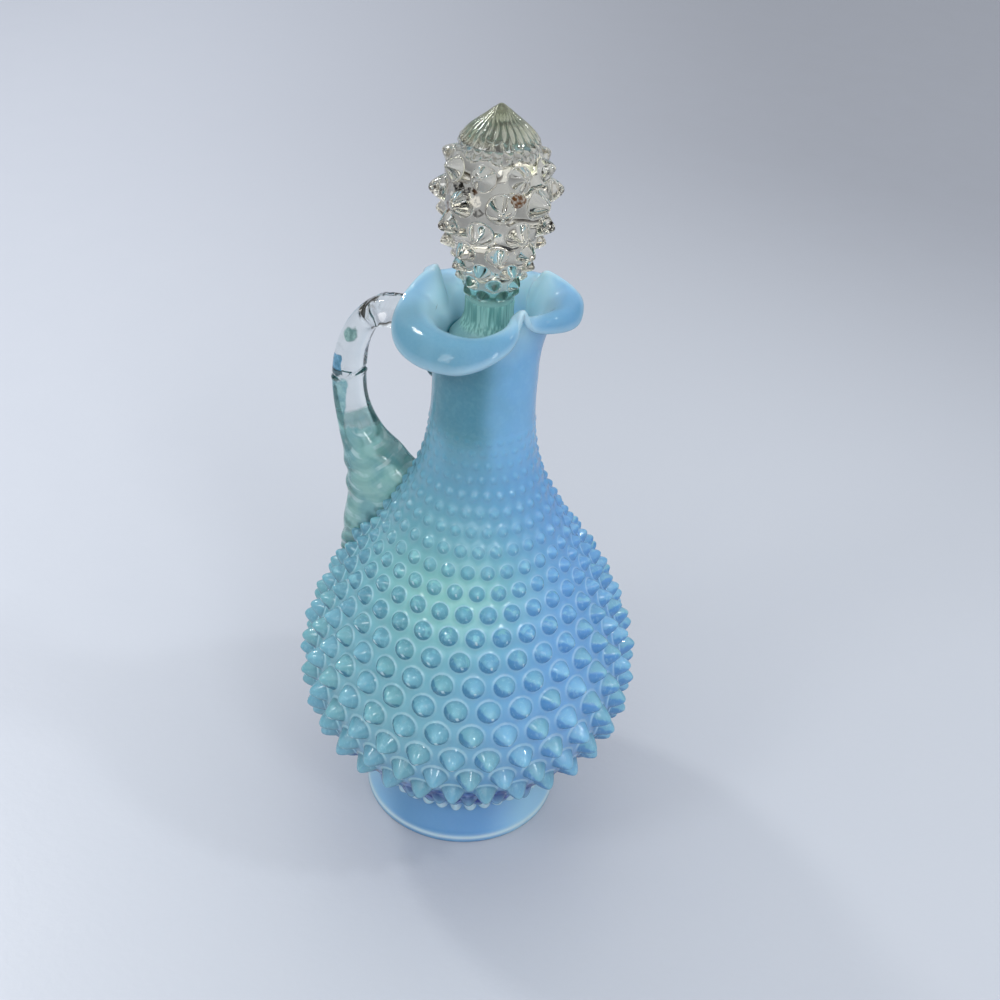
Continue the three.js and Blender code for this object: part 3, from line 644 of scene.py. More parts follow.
def handle_colour(n, co):
    """Clear at the top; sea green streaks down the outside of the bow, and sea green where the glass is thick
    and lies on the shoulder."""
    strip, blue, teal, spot, fold, heart_highlight, low = handle_marks(n, co)
    cloud = n.range(n.noise(co, 75.0, 3.0, 0.6), 0.38, 0.62)
    colour = n.mix(n.math("MULTIPLY", cloud, 0.35), srgb("#F8FAFA"), srgb("#E4ECEE"))
    mottle = n.range(n.noise(co, 330.0, 3.0, 0.7), 0.40, 0.60)
    colour = n.mix(strip, colour, n.mix(mottle, srgb("#5F9BA2"), srgb("#86BEBC")))
    colour = n.mix(blue, colour, n.mix(mottle, srgb("#2F7390"), srgb("#5A9DC0")))
    colour = n.mix(teal, colour, n.mix(mottle, srgb("#3E6E66"), srgb("#7FB0A4")))
    colour = n.mix(spot, colour, srgb("#1E3A40"))
    # the fold's painted shade
    colour = n.mix(fold, colour, srgb("#34332C"))
    colour = n.mix(heart_highlight, colour, srgb("#FFFFFF"))
    thick = n.mix(cloud, srgb("#86BCC0"), srgb("#A8D8CE"))
    swirl = n.node("ShaderNodeTexWave", wave_type="RINGS", rings_direction="SPHERICAL")
    n.put(swirl.inputs["Vector"], n.vector("SUBTRACT", co, (-0.050, -0.006, 0.166)))
    swirl.inputs["Scale"].default_value = 46.0
    swirl.inputs["Distortion"].default_value = 5.5
    swirl.inputs["Detail"].default_value = 1.0
    swirl.inputs["Detail Scale"].default_value = 1.2
    # painted highlights: bright rings on the ripples of the thick glass
    arc_highlights = n.math("MULTIPLY", n.range(swirl.outputs["Fac"], 0.78, 0.95), n.range(n.noise(co, 140.0, 2.0), 0.42, 0.56))
    thick = n.mix(n.math("MULTIPLY", n.range(swirl.outputs["Fac"], 0.40, 0.10), 0.22), thick, srgb("#5E9A96"))
    thick = n.mix(n.math("MULTIPLY", arc_highlights, 0.75), thick, srgb("#DDF8F4"))
    return n.mix(low, colour, thick)


def handle_clear(n, co):
    """How much light the glass lets through: less in the streaks, and less where it is thick, in the fold's painted
    shade and at its painted highlight.
    """
    strip, blue, teal, spot, fold, heart_highlight, low = handle_marks(n, co)
    hazy = n.math("ADD", n.math("MULTIPLY", low, 0.38), n.math("MULTIPLY", heart_highlight, 0.80))
    hazy = n.math("ADD", hazy, n.math("ADD", n.math("MULTIPLY", blue, 0.55), n.math("MULTIPLY", fold, 0.85)))
    hazy = n.math("ADD", hazy, n.math("MULTIPLY", n.math("ADD", strip, teal), 0.35))
    return n.math("SUBTRACT", 1.0, hazy, clamp=True)


def handle_relief(n, co):
    """Soft waves over the rod and rings of ripples where the hot glass was pressed on to the shoulder."""
    wave = n.node("ShaderNodeTexWave", wave_type="RINGS", rings_direction="SPHERICAL")
    n.put(wave.inputs["Vector"], n.vector("SUBTRACT", co, (-0.050, -0.006, 0.166)))
    wave.inputs["Scale"].default_value = 38.0
    wave.inputs["Distortion"].default_value = 4.0
    wave.inputs["Detail"].default_value = 1.0
    wave.inputs["Detail Scale"].default_value = 1.2
    sep = n.node("ShaderNodeSeparateXYZ")
    n.t.links.new(co, sep.inputs[0])
    low = n.range(sep.outputs[2], 0.172, 0.155)
    first = n.bump(n.math("MULTIPLY", wave.outputs["Fac"], low), 0.26, 0.0010)
    return n.bump(n.noise(co, 85.0, 2.0), 0.14, 0.0012, first)


# painted dark reflections in the stopper: azimuth, height, half width, half height (mm), depth
PAINTED_DARK_REFLECTIONS = [
    [-110, 280.3, 2.9, 1.5, 1.0], [-94, 280.4, 2.6, 1.3, 1.0], [-81, 273.6, 2.1, 1.6, 0.9], [-125, 271.6, 1.4, 1.9, 1.0],
    [-128, 278.8, 1.5, 2.6, 0.7], [-38, 278.3, 2.8, 2.0, 1.0], [14, 278.0, 1.4, 2.0, 0.9], [-20, 273.2, 1.6, 1.0, 0.6],
    [75, 279.5, 2.4, 1.4, 0.8], [130, 272.0, 2.0, 1.8, 0.6], [190, 279.0, 2.2, 1.6, 0.8],
]
# painted bright reflections in the stopper, same columns
PAINTED_BRIGHT_REFLECTIONS = [[-84, 277.6, 1.9, 1.7, 1.0], [-118, 275.9, 1.3, 1.3, 0.8], [60, 270.8, 1.6, 1.4, 0.8], [160, 276.0, 1.5, 1.5, 0.8]]


def spots(n, co, listed):
    shaken = n.vector("ADD", co, n.vector("MULTIPLY", n.vector("SUBTRACT", n.noise(co, 420.0, 2.0, 0.5, "Color"), (0.5, 0.5, 0.5)), (0.0036, 0.0036, 0.0036)))
    total = None
    for az, z, w, h, depth in listed:
        at = turned(17.3, z, az) * MM
        near = n.vector("LENGTH", n.vector("MULTIPLY", n.vector("SUBTRACT", shaken, tuple(at)), (1 / (w * MM), 1 / (w * MM), 1 / (h * MM))))
        one = n.range(near, 1.15, 0.90, 0.0, depth)
        total = one if total is None else n.math("MAXIMUM", total, one)
    return n.math("MULTIPLY", total, n.range(n.noise(co, 900.0, 3.0, 0.6), 0.38, 0.54, 0.40, 1.0))


def stopper_colour(n, co):
    """Clear with a warm cast and a few painted dark reflections, sage green in the thick fluted top, and sea green low
    down.
    """
    sep = n.node("ShaderNodeSeparateXYZ")
    n.t.links.new(co, sep.inputs[0])
    z = sep.outputs[2]
    cloud = n.range(n.noise(co, 130.0, 2.0), 0.35, 0.65)
    colour = n.mix(n.math("MULTIPLY", cloud, 0.3), srgb("#EEE8DA"), srgb("#CEC3AC"))
    top = n.math("MULTIPLY", n.range(z, 0.2915, 0.2975), n.math("ADD", n.math("MULTIPLY", cloud, 0.3), 0.7))
    colour = n.mix(top, colour, srgb("#959C74"))
    colour = n.mix(n.range(z, 0.2500, 0.2385), colour, srgb("#C6E8E2"))
    colour = n.mix(n.range(z, 0.2390, 0.2365), colour, srgb("#A8DAD2"))
    # painted dark reflections, black to brown
    brown = n.range(n.noise(co, 60.0, 1.0), 0.45, 0.55)
    return n.mix(spots(n, co, PAINTED_DARK_REFLECTIONS), colour, n.mix(brown, srgb("#12100A"), srgb("#5E3A1A")))


def stopper_clear(n, co):
    """How much light it lets through: little in the painted dark and bright reflections, most of it elsewhere."""
    sep = n.node("ShaderNodeSeparateXYZ")
    n.t.links.new(co, sep.inputs[0])
    z = sep.outputs[2]
    hazy = n.math("MULTIPLY", n.math("MAXIMUM", spots(n, co, PAINTED_BRIGHT_REFLECTIONS), spots(n, co, PAINTED_DARK_REFLECTIONS)), 0.88)
    hazy = n.math("ADD", hazy, n.math("ADD", n.range(z, 0.2390, 0.2365, 0.0, 0.50), n.range(z, 0.2915, 0.2960, 0.0, 0.16)))
    return n.math("SUBTRACT", 1.0, hazy, clamp=True)


def stopper_relief(n, co):
    return n.bump(n.noise(co, 160.0, 2.0), 0.05, 0.0008)


def ground_glass():
    """The plug: ground on its seat, so that it scatters light, in a soft sea green."""
    m, t = material("ground_glass")
    n = Net(t)
    out = n.node("ShaderNodeOutputMaterial")
    p = n.node("ShaderNodeBsdfPrincipled")
    t.links.new(p.outputs[0], out.inputs[0])
    co = n.node("ShaderNodeTexCoord").outputs["Object"]
    sep = n.node("ShaderNodeSeparateXYZ")
    t.links.new(co, sep.inputs[0])
    grain = n.noise(co, 1500.0, 2.0)
    streak = n.range(n.noise(n.vector("MULTIPLY", co, (1.0, 1.0, 0.06)), 1100.0, 1.0), 0.35, 0.65)
    flare = n.mix(grain, srgb("#70A4AA"), srgb("#88BABC"))
    shank = n.mix(streak, srgb("#6BA59E"), srgb("#A6DAD0"))
    colour = n.mix(n.range(sep.outputs[2], 0.2238, 0.2262), flare, shank)
    colour = n.mix(n.range(sep.outputs[2], 0.2208, 0.2196), colour, n.mix(grain, srgb("#B4CACB"), srgb("#D2E0E0")))
    n.put(p.inputs["Base Color"], colour)
    p.inputs["Roughness"].default_value = 0.42
    p.inputs["IOR"].default_value = 1.5
    p.inputs["Transmission Weight"].default_value = 0.35
    n.put(p.inputs["Normal"], n.bump(grain, 0.3, 0.0003))
    return m


def floor_material():
    m, t = material("floor_pale")
    n = Net(t)
    out = n.node("ShaderNodeOutputMaterial")
    p = n.node("ShaderNodeBsdfPrincipled")
    t.links.new(p.outputs[0], out.inputs[0])
    co = n.node("ShaderNodeTexCoord").outputs["Object"]
    far = n.range(n.vector("LENGTH", co), 0.25, 0.85)
    right = n.vector("DOT_PRODUCT", co, (0.891, 0.454, 0.0))
    back = n.mix(n.range(right, -0.45, 0.35), srgb("#C2C6CE"), srgb("#92959C"))
    # painted light: the near floor is lighter to the left, as if lit from the back left; far off it turns a darker
    # grey, darker still to the right
    colour = n.mix(far, n.mix(n.range(right, 0.05, -0.35), srgb("#B9BDC3"), srgb("#C8CCD3")), back)
    colour = n.mix(n.math("MULTIPLY", n.noise(co, 30.0, 4.0), 0.12), colour, srgb("#ABB3BF"))
    n.put(p.inputs["Base Color"], colour)
    p.inputs["Roughness"].default_value = 0.38
    n.put(p.inputs["Normal"], n.bump(n.noise(co, 260.0, 3.0), 0.12, 0.001))
    return m


OPAL = opal_glass()
HANDLE_GLASS = clear_glass("clear_glass_handle", handle_colour, 0.0, handle_relief, "#C4E2DA", 4.0, handle_clear)
STOPPER_GLASS = clear_glass("clear_glass_stopper", stopper_colour, 0.0, stopper_relief, "#CDD4C8", 6.0, stopper_clear)
GROUND_GLASS = ground_glass()


# ----------------------------------------------------------------------- bottle
def rim_tables():
    """Middle line of the rim's glass at every degree: three free control points of a cubic curve."""
    deg = np.arange(720) / 2.0
    keys = ("r", "z", "dir", "pull", "rise")
    data = {k: np.zeros(720) for k in keys}
    halves = [(SPOUT_NEAR, SPOUT_FAR), (TIGHT, OPEN), (OPEN, TIGHT)]
    lift = np.zeros(720)
    for k in range(3):
        span = (PINCH[(k + 1) % 3] - PINCH[k]) % 360
        off = (deg - PINCH[k]) % 360
        on = off < span
        near, far = halves[k]
        w = np.array(list(near["w"]) + [2 - x for x in reversed(far["w"][:-1])])
        v = off[on] / (span / 2)
        for key in keys:
            y = np.array(list(near[key]) + list(reversed(far[key][:-1])), float)
            data[key][on] = pchip(w, y, v)
        if k == 1:
            e = 1 - np.abs(v - 1)
            s = np.clip(e / 0.2, 0, 1)
            lift[on] = BACK_LIFT * s * s * (3 - 2 * s)
    d = np.radians(data["dir"])
    p3 = np.stack([data["r"], data["z"] + lift], 1)
    p2 = p3 - np.stack([np.cos(d), np.sin(d)], 1) * data["pull"][:, None]
    p1 = np.stack([0 * d + RIM_START[0] - 0.2, RIM_START[1] + data["rise"] + lift], 1)
    x = np.arange(-12, 13) / 2.0
    g = np.exp(-0.5 * (x / 1.3) ** 2)
    g /= g.sum()

    def soften(a):
        return np.stack([np.convolve(np.concatenate([a[-12:, c], a[:, c], a[:12, c]]), g, "valid") for c in range(2)], 1)

    return soften(p1), soften(p2), soften(p3)


def rim_surface(us):
    """Middle surface [u, 360, 3] of the rim and its normals, pointing to the inside of the funnel."""
    p1, p2, p3 = (a[::2] for a in rim_tables())
    p0 = np.array(RIM_START)[None, None]
    u = np.asarray(us, float)[:, None, None]
    c = (1 - u) ** 3 * p0 + 3 * (1 - u) ** 2 * u * p1[None] + 3 * (1 - u) * u**2 * p2[None] + u**3 * p3[None]
    tan = 3 * (1 - u) ** 2 * (p1[None] - p0) + 6 * (1 - u) * u * (p2 - p1)[None] + 3 * u**2 * (p3 - p2)[None]
    deg = np.arange(360.0)[None]
    for i, v in enumerate(us):
        sigma = 9.0 * (1 - v) ** 1.6 + 1.3
        x = np.arange(-30, 31)
        g = np.exp(-0.5 * (x / sigma) ** 2)
        g /= g.sum()
        for arr in (c, tan):
            for k in range(2):
                row = arr[i, :, k]
                arr[i, :, k] = np.convolve(np.concatenate([row[-30:], row, row[:30]]), g, "valid")
    mid = turned(c[..., 0], c[..., 1], deg)
    a = np.radians(deg)
    t3 = np.stack([tan[..., 0] * np.cos(a), tan[..., 0] * np.sin(a), tan[..., 1]], -1)
    t3 /= np.linalg.norm(t3, axis=-1, keepdims=True)
    around = (np.roll(mid, -1, 1) - np.roll(mid, 1, 1)) / 2
    normal = np.cross(t3, around)
    normal /= np.linalg.norm(normal, axis=-1, keepdims=True)
    flat = np.stack([-t3[..., 2] * np.cos(a), -t3[..., 2] * np.sin(a), np.hypot(t3[..., 0], t3[..., 1]) * np.sign(tan[..., 0])], -1)
    flip = np.sign((normal * flat).sum(-1, keepdims=True))
    normal = normal * np.where(flip == 0, 1, flip)
    mixed = normal * 0.7 + flat * 0.3
    mixed /= np.linalg.norm(mixed, axis=-1, keepdims=True)
    return mid, mixed, t3


def make_bottle():
    b = Build()
    listed = FOOT + HOB_ROWS + NECK
    surface = spline(listed)
    first = len(FOOT)
    last = first + len(HOB_ROWS) - 1
    parity = (8 - (first + 1)) % 2  # so that the staggering is the CAD's

    def radius(row, c):
        pitch = 2 * math.pi * c[0] / COLUMNS
        return pitch * (0.35 if row <= first + 1 else float(np.interp(c[1], [60, 95], [0.392, 0.372])))

    def height(row, c):
        pitch = 2 * math.pi * c[0] / COLUMNS
        fade = float(np.interp(row - first, [8, 10, 12, 14, 16, 18, 20], [1.0, 0.86, 0.66, 0.52, 0.38, 0.24, 0.16]))
        return pitch * (0.17 if row == first else 0.30 if row == first + 1 else 0.46 * fade)

    def rings(row):
        if row > last - 8:
            return [0.35, 0.75, 1.0]
        return [0.14, 0.3, 0.5, 0.7, 0.87, 0.97, 1.07]

    # painted shade for the crevice under the belly, on the two lowest hob rows
    def deep(row):
        return {first: 1.35, first + 1: 0.9}.get(row, 0.0)

    (low, low_deg), (high, high_deg) = hob_cells(
        b, surface, range(first, last + 1), COLUMNS, 0.0, radius, height, rings, 3,
        sharp=0.50, parity=parity, deep=deep, twist=lambda z: 1.1 * np.clip((66 - z) / 24, 0, 1))

    # beads above the foot
    fine = np.arange(540) * (360 / 540)
    band_t = [9.3, 9.55, 9.8, 10.0, 10.2, 10.4, 10.6, 10.8, 11.0, 11.2]
    rows = []
    bead_deg = np.arange(40) * 9.0 + 7.6
    for t in band_t:
        p, d = surface(t)
        d = d / np.linalg.norm(d)
        delta = (fine[:, None] - bead_deg[None] + 180) % 360 - 180
        near = np.argmin(np.abs(delta), 1)
        arc = np.radians(delta[np.arange(540), near]) * p[0]
        zc = surface(np.full(540, 9.85))[0][:, 1] + 0.3 * np.sin(near * 4.1)
        x = np.hypot(arc / (2.65 + 0.15 * np.sin(near * 2.3)), (p[1] - zc) / 2.6)
        h = 2.7 * np.clip(1 - x**2, 0, 1) ** 0.75 * (0.88 + 0.12 * np.sin(near * 7.3))
        rows.append(b.points(turned(p[0] + d[1] * h, p[1] - d[0] * h, fine), bead=np.clip(h / 0.6, 0, 1), span=2.0, deep=np.clip((t - 10.25) / 0.6, 0, 1) * (h < 0.2)))
    for a, c in zip(rows, rows[1:]):
        b.strip(a, c)
    # between the beads and the lowest hobs: the crevice, in painted shade
    p, d = surface(11.25)
    ring = b.points(turned(np.full(180, p[0]), p[1], low_deg), deep=1.0, span=2.0)
    b.finer(rows[-1], ring, -3)
    b.strip(ring, low)
    # foot
    coarse = np.arange(180) * 2.0
    foot_t = [0, 0.4, 0.8, 1.2, 1.6, 2, 2.4, 2.8, 3.2, 3.6, 4, 4.5, 5, 5.6, 6.3, 7, 7.7, 8.3, 8.8, 9.1]
    foot = []
    for t in foot_t:
        p, _ = surface(t)
        # the ridge line takes the pale edge colour, a painted highlight
        line = math.exp(-((p[1] - 3.1) / 0.75) ** 2)
        foot.append(b.points(turned(np.full(180, p[0]), p[1], coarse), foot=1.0, edge=line, span=2.0))
    for a, c in zip(foot, foot[1:]):
        b.strip(a, c)
    b.finer(foot[-1], rows[0], 3)
    # underside
    chain = [foot[0]]
    for r, z in ((38.9, -0.0), (36.6, 0.0), (35.6, 0.12), (34.7, 0.9), (34.0, 2.2), (33.0, 3.3), (31.0, 4.0), (26.0, 4.6), (19.0, 5.0), (9.0, 5.45)):
        chain.append(b.points(turned(np.full(180, r), z, coarse), foot=1.0))
    for a, c in zip(chain, chain[1:]):
        b.strip(c, a)
    b.fan(chain[-1], (0, 0, 5.6), up=False, foot=1.0)

    # neck
    ring = high
    for t in np.concatenate([[last + 1.0], np.linspace(last + 1.3, len(listed) - 1, 8)]):
        p, _ = surface(t)
        nxt = b.points(turned(np.full(180, p[0]), p[1], high_deg))
        b.strip(ring, nxt)
        ring = nxt
    # rim, outside, lip and inside
    us = np.array([0.03, 0.1, 0.18, 0.26, 0.34, 0.42, 0.5, 0.57, 0.64, 0.71, 0.78, 0.84, 0.9, 0.95, 1.0])
    mid, normal, tan = rim_surface(us)
    half = (NECK_T + (LIP_T - NECK_T) * np.minimum(1, us * 1.4) - 0.7 * np.clip((us - 0.6) / 0.4, 0, 1))[:, None, None] / 2
    outer = mid - normal * half
    inner = mid + normal * half
    rimness = np.clip((us - 0.25) / 0.35, 0, 1)
    rows = [b.points(outer[i], rim=rimness[i], edge=np.clip((us[i] - 0.95) / 0.05, 0, 1) * 0.9) for i in range(len(us))]
    start = high_deg[0] % 360
    shift = int(round(start))
    rows = [np.roll(r, -shift) for r in rows]
    b.finer(ring, rows[0], 2)
    for a, c in zip(rows, rows[1:]):
        b.strip(a, c)
    ring = rows[-1]
    for ang in (30, 60, 90, 120, 150):
        q = math.radians(ang)
        edge_points = mid[-1] - normal[-1] * half[-1] * math.cos(q) + tan[-1] * half[-1] * 0.95 * math.sin(q)
        nxt = np.roll(b.points(edge_points, rim=1.0, edge=1.0), -shift)
        b.strip(ring, nxt)
        ring = nxt
    inside_rows = [np.roll(b.points(inner[i], rim=1.0, edge=np.clip((us[i] - 0.95) / 0.05, 0, 1) * 0.9), -shift)
                   for i in range(len(us) - 1, -1, -1) if us[i] >= 0.48]
    for nxt in inside_rows:
        b.strip(ring, nxt)
        ring = nxt
    # down the funnel to the ground seat
    deg = np.roll(np.arange(360.0), -shift)
    low_in = inner[[i for i in range(len(us)) if us[i] >= 0.48][0]]
    r_in, z_in = np.hypot(low_in[:, 0], low_in[:, 1]), low_in[:, 2]
    r_in, z_in = np.roll(r_in, -shift), np.roll(z_in, -shift)
    for s in (0.3, 0.6, 0.85, 1.0):
        rr = r_in + (14.7 - r_in) * s
        zz = z_in + (SEAT_TOP[1] + 0.9 - z_in) * s
        nxt = b.points(turned(rr, zz, deg), rim=1.0 - 0.6 * s)
        b.strip(ring, nxt)
        ring = nxt
    seat = []
    for r, z in ((14.35, SEAT_TOP[1] + 0.3), (SEAT_TOP[0], SEAT_TOP[1] - 0.3), ((SEAT_TOP[0] + SEAT_BOTTOM[0]) / 2, (SEAT_TOP[1] + SEAT_BOTTOM[1]) / 2), SEAT_BOTTOM):
        nxt = b.points(turned(np.full(360, r), z, deg), rim=0.0)
        b.strip(ring, nxt)
        ring = nxt
    inside = spline([SEAT_BOTTOM] + INSIDE)
    half_deg = deg[::4]
    prev = None
    for t in np.linspace(0.5, len(INSIDE), 46):
        p, _ = inside(t)
        nxt = b.points(turned(np.full(90, p[0]), p[1], half_deg))
        if prev is None:
            b.finer(ring, nxt, -4)
        else:
            b.strip(prev, nxt)
        prev = nxt
    b.fan(prev, (0, 0, FLOOR_Z), up=True)
    return b.make("bottle_glass", [OPAL])


# ----------------------------------------------------------------------- handle
def make_handle():
    b = Build()
    line = spline(HANDLE)
    body = spline([[40.6, 24.8]] + HOB_ROWS + NECK)
    bt = np.linspace(0, len(HOB_ROWS) + len(NECK), 1200)
    bp, bd = body(bt)
    bd = bd / np.linalg.norm(bd, axis=1, keepdims=True)
    sides = 84
    a = 2 * np.pi * np.arange(sides) / sides
    count = 260
    rings = []
    for t in np.linspace(0.35, len(HANDLE) - 1, count):
        (ro, zo, ri, zi, w), _ = line(t)
        c, s = np.cos(a), np.sin(a)
        square = (np.abs(c) ** 2.7 + np.abs(s) ** 2.7) ** (-1 / 2.7)
        c, s = c * square, s * square
        # a soft, slightly squared rod, with the tool marks of the hot glass
        r = (ro + ri) / 2 + (ro - ri) / 2 * c
        z = (zo + zi) / 2 + (zo - zi) / 2 * c
        y = w * s
        wave = 0.22 * math.sin(t * 4.4 + 1.2 * math.sin(t * 1.7)) * min(1, max(0, (t - 12.5) / 1.5))
        k = 1 - wave / 6.5
        r = (ro + ri) / 2 + (r - (ro + ri) / 2) * k
        z = (zo + zi) / 2 + (z - (zo + zi) / 2) * k
        y = y * k
        p = np.stack([-r, y, z], 1)
        # crease across the rod, slanting up towards the neck
        line_z = 185.7 + np.maximum(0, p[:, 0] + 57) * 0.76
        dip = 0.75 * np.exp(-((p[:, 2] - line_z) / 0.55) ** 2) - 0.35 * np.exp(-((p[:, 2] - line_z + 1.6) / 0.9) ** 2)
        dip = np.where(t > 6, dip, 0)
        # fold where the rod was bent down: a crescent groove round a soft round end
        fx, fz = p[:, 0] + 43.9, p[:, 2] - 217.8
        d, ang = np.hypot(fx, fz), np.degrees(np.arctan2(fz, fx)) % 360
        arc = np.clip((ang - 70) / 30, 0, 1) * np.clip((255 - ang) / 30, 0, 1)
        flank = np.clip(np.abs(p[:, 1]) / 4.5, 0, 1)
        fold = flank * arc * (1.0 * np.exp(-((d - 6.2) / 0.9) ** 2) - 0.4 * np.exp(-((d - 4.2) / 0.8) ** 2))
        fold -= flank * 0.7 * np.exp(-(np.hypot(fx - 4.0, fz) / 1.7) ** 2)
        fold = np.where(t < 8, fold, 0)
        core = np.stack([np.full(sides, -(ro + ri) / 2), np.zeros(sides), np.full(sides, (zo + zi) / 2)], 1)
        out_dir = p - core
        out_dir /= np.linalg.norm(out_dir, axis=1, keepdims=True)
        p = p - out_dir * (dip + fold)[:, None]
        rad = np.hypot(p[:, 0], p[:, 1])
        # where the rod is inside the bottle, it lies on the bottle's surface instead
        for m in range(sides):
            j = int(np.argmin((bp[:, 0] - rad[m]) ** 2 + (bp[:, 1] - p[m, 2]) ** 2))
            n = np.array([bd[j, 1], -bd[j, 0]])
            depth = (rad[m] - bp[j, 0]) * n[0] + (p[m, 2] - bp[j, 1]) * n[1]
            gap = -0.8
            if depth < gap and p[m, 2] < 214:
                target = bp[j] + n * gap
                p[m, 0] *= target[0] / max(rad[m], 1e-6)
                p[m, 1] *= target[0] / max(rad[m], 1e-6)
                p[m, 2] = target[1]
            elif p[m, 2] >= 214 and rad[m] < 19.2:
                p[m, :2] *= 19.2 / rad[m]
        rings.append(b.points(p, t=t))
    for u, v in zip(rings, rings[1:]):
        i = np.arange(sides)
        j = (i + 1) % sides
        b.quads(u[i], u[j], v[j], v[i])
    P = np.concatenate(b.xyz)
    b.fan(rings[0], P[rings[0]].mean(0) * [1, 1, 1], up=False)
    b.fan(rings[-1], P[rings[-1]].mean(0), up=True)
    ob = b.make("handle_glass", [HANDLE_GLASS])
    return ob


# ---------------------------------------------------------------------- stopper
def make_stopper():
    b = Build()
    rows = [[r, z] for r, z, _ in STOPPER_ROWS]
    tall = [h for _, _, h in STOPPER_ROWS]
    surface = spline(STOPPER_LOW + rows + STOPPER_HIGH)
    first = len(STOPPER_LOW)
    last = first + len(rows) - 1

    def radius(row, c):
        return 2 * math.pi * c[0] / STOPPER_COLUMNS * 0.345

    def height(row, c):
        return tall[row - first]

    def rings(row):
        return [0.06, 0.13, 0.21, 0.30, 0.42, 0.55, 0.68, 0.80, 0.90, 0.97, 1.05, 1.14]

    # the second row from the top has a hob at STOPPER_TURN
    parity = (last - 1) % 2
    (low, low_deg), (high, high_deg) = hob_cells(
        b, surface, range(first, last + 1), STOPPER_COLUMNS, STOPPER_TURN, radius, height, rings, 6, sharp=0.30,
        fillet=0.97, parity=parity)
    # shank with fine ribs, down to the flare
    n = 192
    deg = np.arange(n) * 360.0 / n + STOPPER_TURN
    a = np.radians(deg)
    ribs = 0.5 + 0.5 * np.cos(48 * (a - a[0])) * (0.6 + 0.4 * np.cos(5 * a))
    shape = [[8.62, 235.6, 0.0], [8.55, 234.6, 1], [8.5, 232.6, 1], [8.5, 230.6, 1], [8.65, 229.0, 1], [9.0, 227.6, 1],
             [9.6, 226.2, 1], [9.95, 225.5, 0.6], [10.15, 225.2, 0], [10.7, 224.4, 0], [11.6, 223.2, 0],
             [12.5, 222.1, 0], [13.3, 221.2, 0], [13.75, 220.6, 0]]
    ring = None
    for r, z, k in shape:
        nxt = b.points(turned(r + 0.26 * k * ribs, z, deg))
        if ring is None:
            b.stitch(nxt, low)
        else:
            b.strip(nxt, ring, 1)
        ring = nxt
    # ground plug
    for r, z in ((13.86, 219.9), (13.85, 219.6), (13.4, 213.5), (12.85, 206.0), (12.3, 198.6), (11.72, 191.0), (11.4, 190.0), (10.7, 189.3), (9.6, 189.2)):
        nxt = b.points(turned(np.full(n, r), z, deg), ground=1.0)
        b.strip(nxt, ring, 0 if r > 13.855 else 1)
        ring = nxt
    b.fan(ring, (0, 0, 189.5), up=False, mat=1, ground=1.0)
    # cone with convex flutes and a smooth cap
    n = FLUTES * 14
    deg = np.arange(n) * 360.0 / n + STOPPER_TURN
    phase = (deg - STOPPER_TURN) * FLUTES / 360.0 % 1.0
    lobe = np.sqrt(np.clip(1 - (2 * phase - 1) ** 2, 0, 1))
    shape = [  # radius in the valleys, height there, how far a flute stands out and how far its end hangs down
        [12.6, 292.5, 0.15, 1.0], [13.3, 293.1, 0.45, 1.9], [13.3, 293.7, 0.62, 1.7], [12.5, 294.6, 0.72, 1.0],
        [11.1, 295.8, 0.72, 0.4], [9.5, 297.1, 0.7, 0], [7.9, 298.5, 0.62, 0], [6.4, 299.8, 0.52, 0],
        [5.1, 300.95, 0.42, 0], [4.0, 302.0, 0.3, 0], [3.1, 302.9, 0.18, 0],
        [2.45, 303.5, 0.05, 0], [1.85, 304.0, 0.0, 0], [1.25, 304.5, 0.0, 0], [0.7, 304.85, 0.0, 0], [0.3, 304.98, 0.0, 0],
    ]
    ring = None
    for r, z, k, drop in shape:
        nxt = b.points(turned(r + k * lobe, z - drop * lobe, deg))
        if ring is None:
            b.stitch(high, nxt)
        else:
            b.strip(ring, nxt)
        ring = nxt
    b.fan(ring, (0, 0, 305.0), up=True)
    return b.make("stopper_glass", [STOPPER_GLASS, GROUND_GLASS])


bottle = make_bottle()
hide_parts("foot", "belly_lower", "belly_upper", "shoulder", "neck_rim")
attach(bottle, "bottle")
handle = make_handle()
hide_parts("handle")
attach(handle, "bottle")
stopper = make_stopper()
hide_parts("stopper")
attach(stopper, "stopper")


# ------------------------------------------------------------------------ stage
floor_mesh = bpy.data.meshes.new("floor")
S = 4.0
floor_mesh.from_pydata([(-S, -S, 0), (S, -S, 0), (S, S, 0), (-S, S, 0)], [], [(0, 1, 2, 3)])
floor_mesh.materials.append(floor_material())
floor = bpy.data.objects.new("floor", floor_mesh)
bpy.context.scene.collection.objects.link(floor)

scene = bpy.context.scene
scene.view_settings.view_transform = "Standard"
scene.view_settings.look = "None"
scene.view_settings.exposure = 0.0

TURN = math.radians(27.0)


def from_view(x, y, z):
    """A point given as right, away and up from the camera's side, in the object's frame."""
    return Vector((x * math.cos(TURN) - y * math.sin(TURN), x * math.sin(TURN) + y * math.cos(TURN), z))


yaw, pitch, roll = math.radians(1.10), math.radians(34.985), math.radians(4.2)
fwd = Vector((math.sin(yaw) * math.cos(pitch), math.cos(yaw) * math.cos(pitch), -math.sin(pitch)))
right = Vector((math.cos(yaw), -math.sin(yaw), 0))
up = right.cross(fwd)
r2 = right * math.cos(roll) + up * math.sin(roll)
u2 = -right * math.sin(roll) + up * math.cos(roll)
axes = [from_view(*v) for v in (r2, u2, -fwd)]
place = from_view(0, -0.455, 0.4673)
cam_data = bpy.data.cameras.new("camera")
cam = bpy.data.objects.new("camera", cam_data)
scene.collection.objects.link(cam)
cam.matrix_world = Matrix((
    (axes[0].x, axes[1].x, axes[2].x, place.x),
    (axes[0].y, axes[1].y, axes[2].y, place.y),
    (axes[0].z, axes[1].z, axes[2].z, place.z),
    (0, 0, 0, 1),
))
cam_data.sensor_width = 36.0
cam_data.lens = 36.0 * 1443.4 / 1000
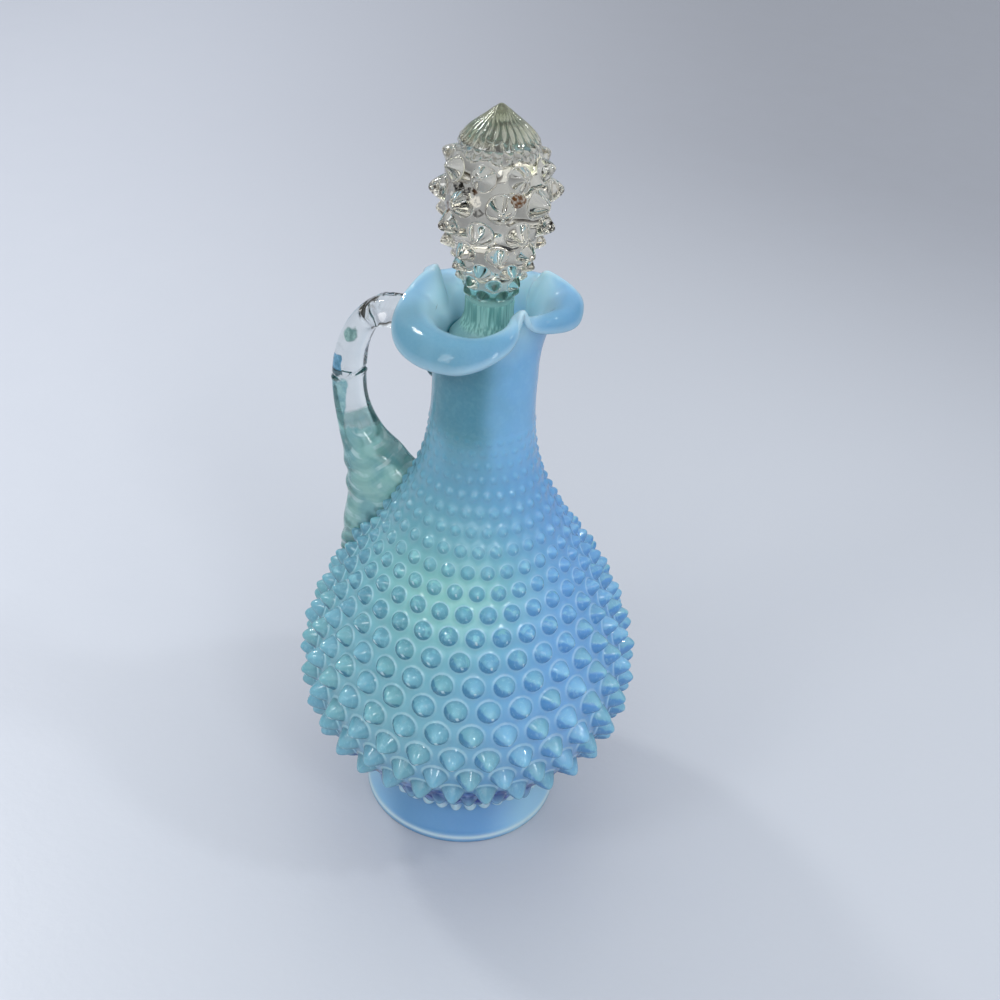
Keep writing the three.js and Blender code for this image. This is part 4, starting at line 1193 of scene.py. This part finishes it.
cam_data.clip_start = 0.01
scene.camera = cam


def area_light(name, at, to, size, power, colour=(1, 1, 1)):
    data = bpy.data.lights.new(name, "AREA")
    data.shape = "RECTANGLE"
    data.size, data.size_y = size
    data.energy = power
    data.color = colour
    ob = bpy.data.objects.new(name, data)
    scene.collection.objects.link(ob)
    ob.location = from_view(*at)
    ob.rotation_mode = "QUATERNION"
    ob.rotation_quaternion = (from_view(*to) - from_view(*at)).to_track_quat("-Z", "Y")
    return ob


area_light("key", (-0.80, 0.62, 1.00), (0, 0, 0.12), (0.16, 0.16), 4.0, (1.0, 0.99, 0.97))
area_light("side", (0.75, -0.15, 0.95), (0, 0, 0.15), (0.10, 0.10), 1.7, (0.95, 0.98, 1.0))
area_light("glint right", (0.55, -1.00, 1.15), (0, 0, 0.12), (0.32, 0.32), 3.3)
area_light("glint left", (-0.80, -0.60, 1.00), (0, 0, 0.12), (0.30, 0.30), 2.3)
area_light("front", (0.10, -1.30, 0.85), (0, 0, 0.10), (1.3, 0.9), 3.6, (0.98, 0.99, 1.0))

world = bpy.data.worlds.new("world")
scene.world = world
world.use_nodes = True
wn = Net(world.node_tree)
bg = world.node_tree.nodes["Background"]
direction = wn.node("ShaderNodeTexCoord").outputs["Generated"]
wsep = wn.node("ShaderNodeSeparateXYZ")
world.node_tree.links.new(direction, wsep.inputs[0])
sky = wn.mix(wn.range(wsep.outputs[2], 0.04, 0.36), srgb("#3A3530"), srgb("#E6EAF2"))
for at, colour, size in (((-0.9, 0.3, 0.22), "#0E0C0A", 0.90), ((0.9, 0.45, 0.22), "#2A1C12", 0.92), ((0.5, -0.9, 0.1), "#2C2A28", 0.90)):
    d = from_view(*at).normalized()
    near = wn.range(wn.vector("DOT_PRODUCT", direction, tuple(d)), size, size + 0.05)
    sky = wn.mix(near, sky, srgb(colour))
sky = wn.mix(wn.range(wsep.outputs[2], 0.010, -0.015), sky, srgb("#AEB4BE"))
wn.put(bg.inputs[0], sky)
bg.inputs[1].default_value = 1.10
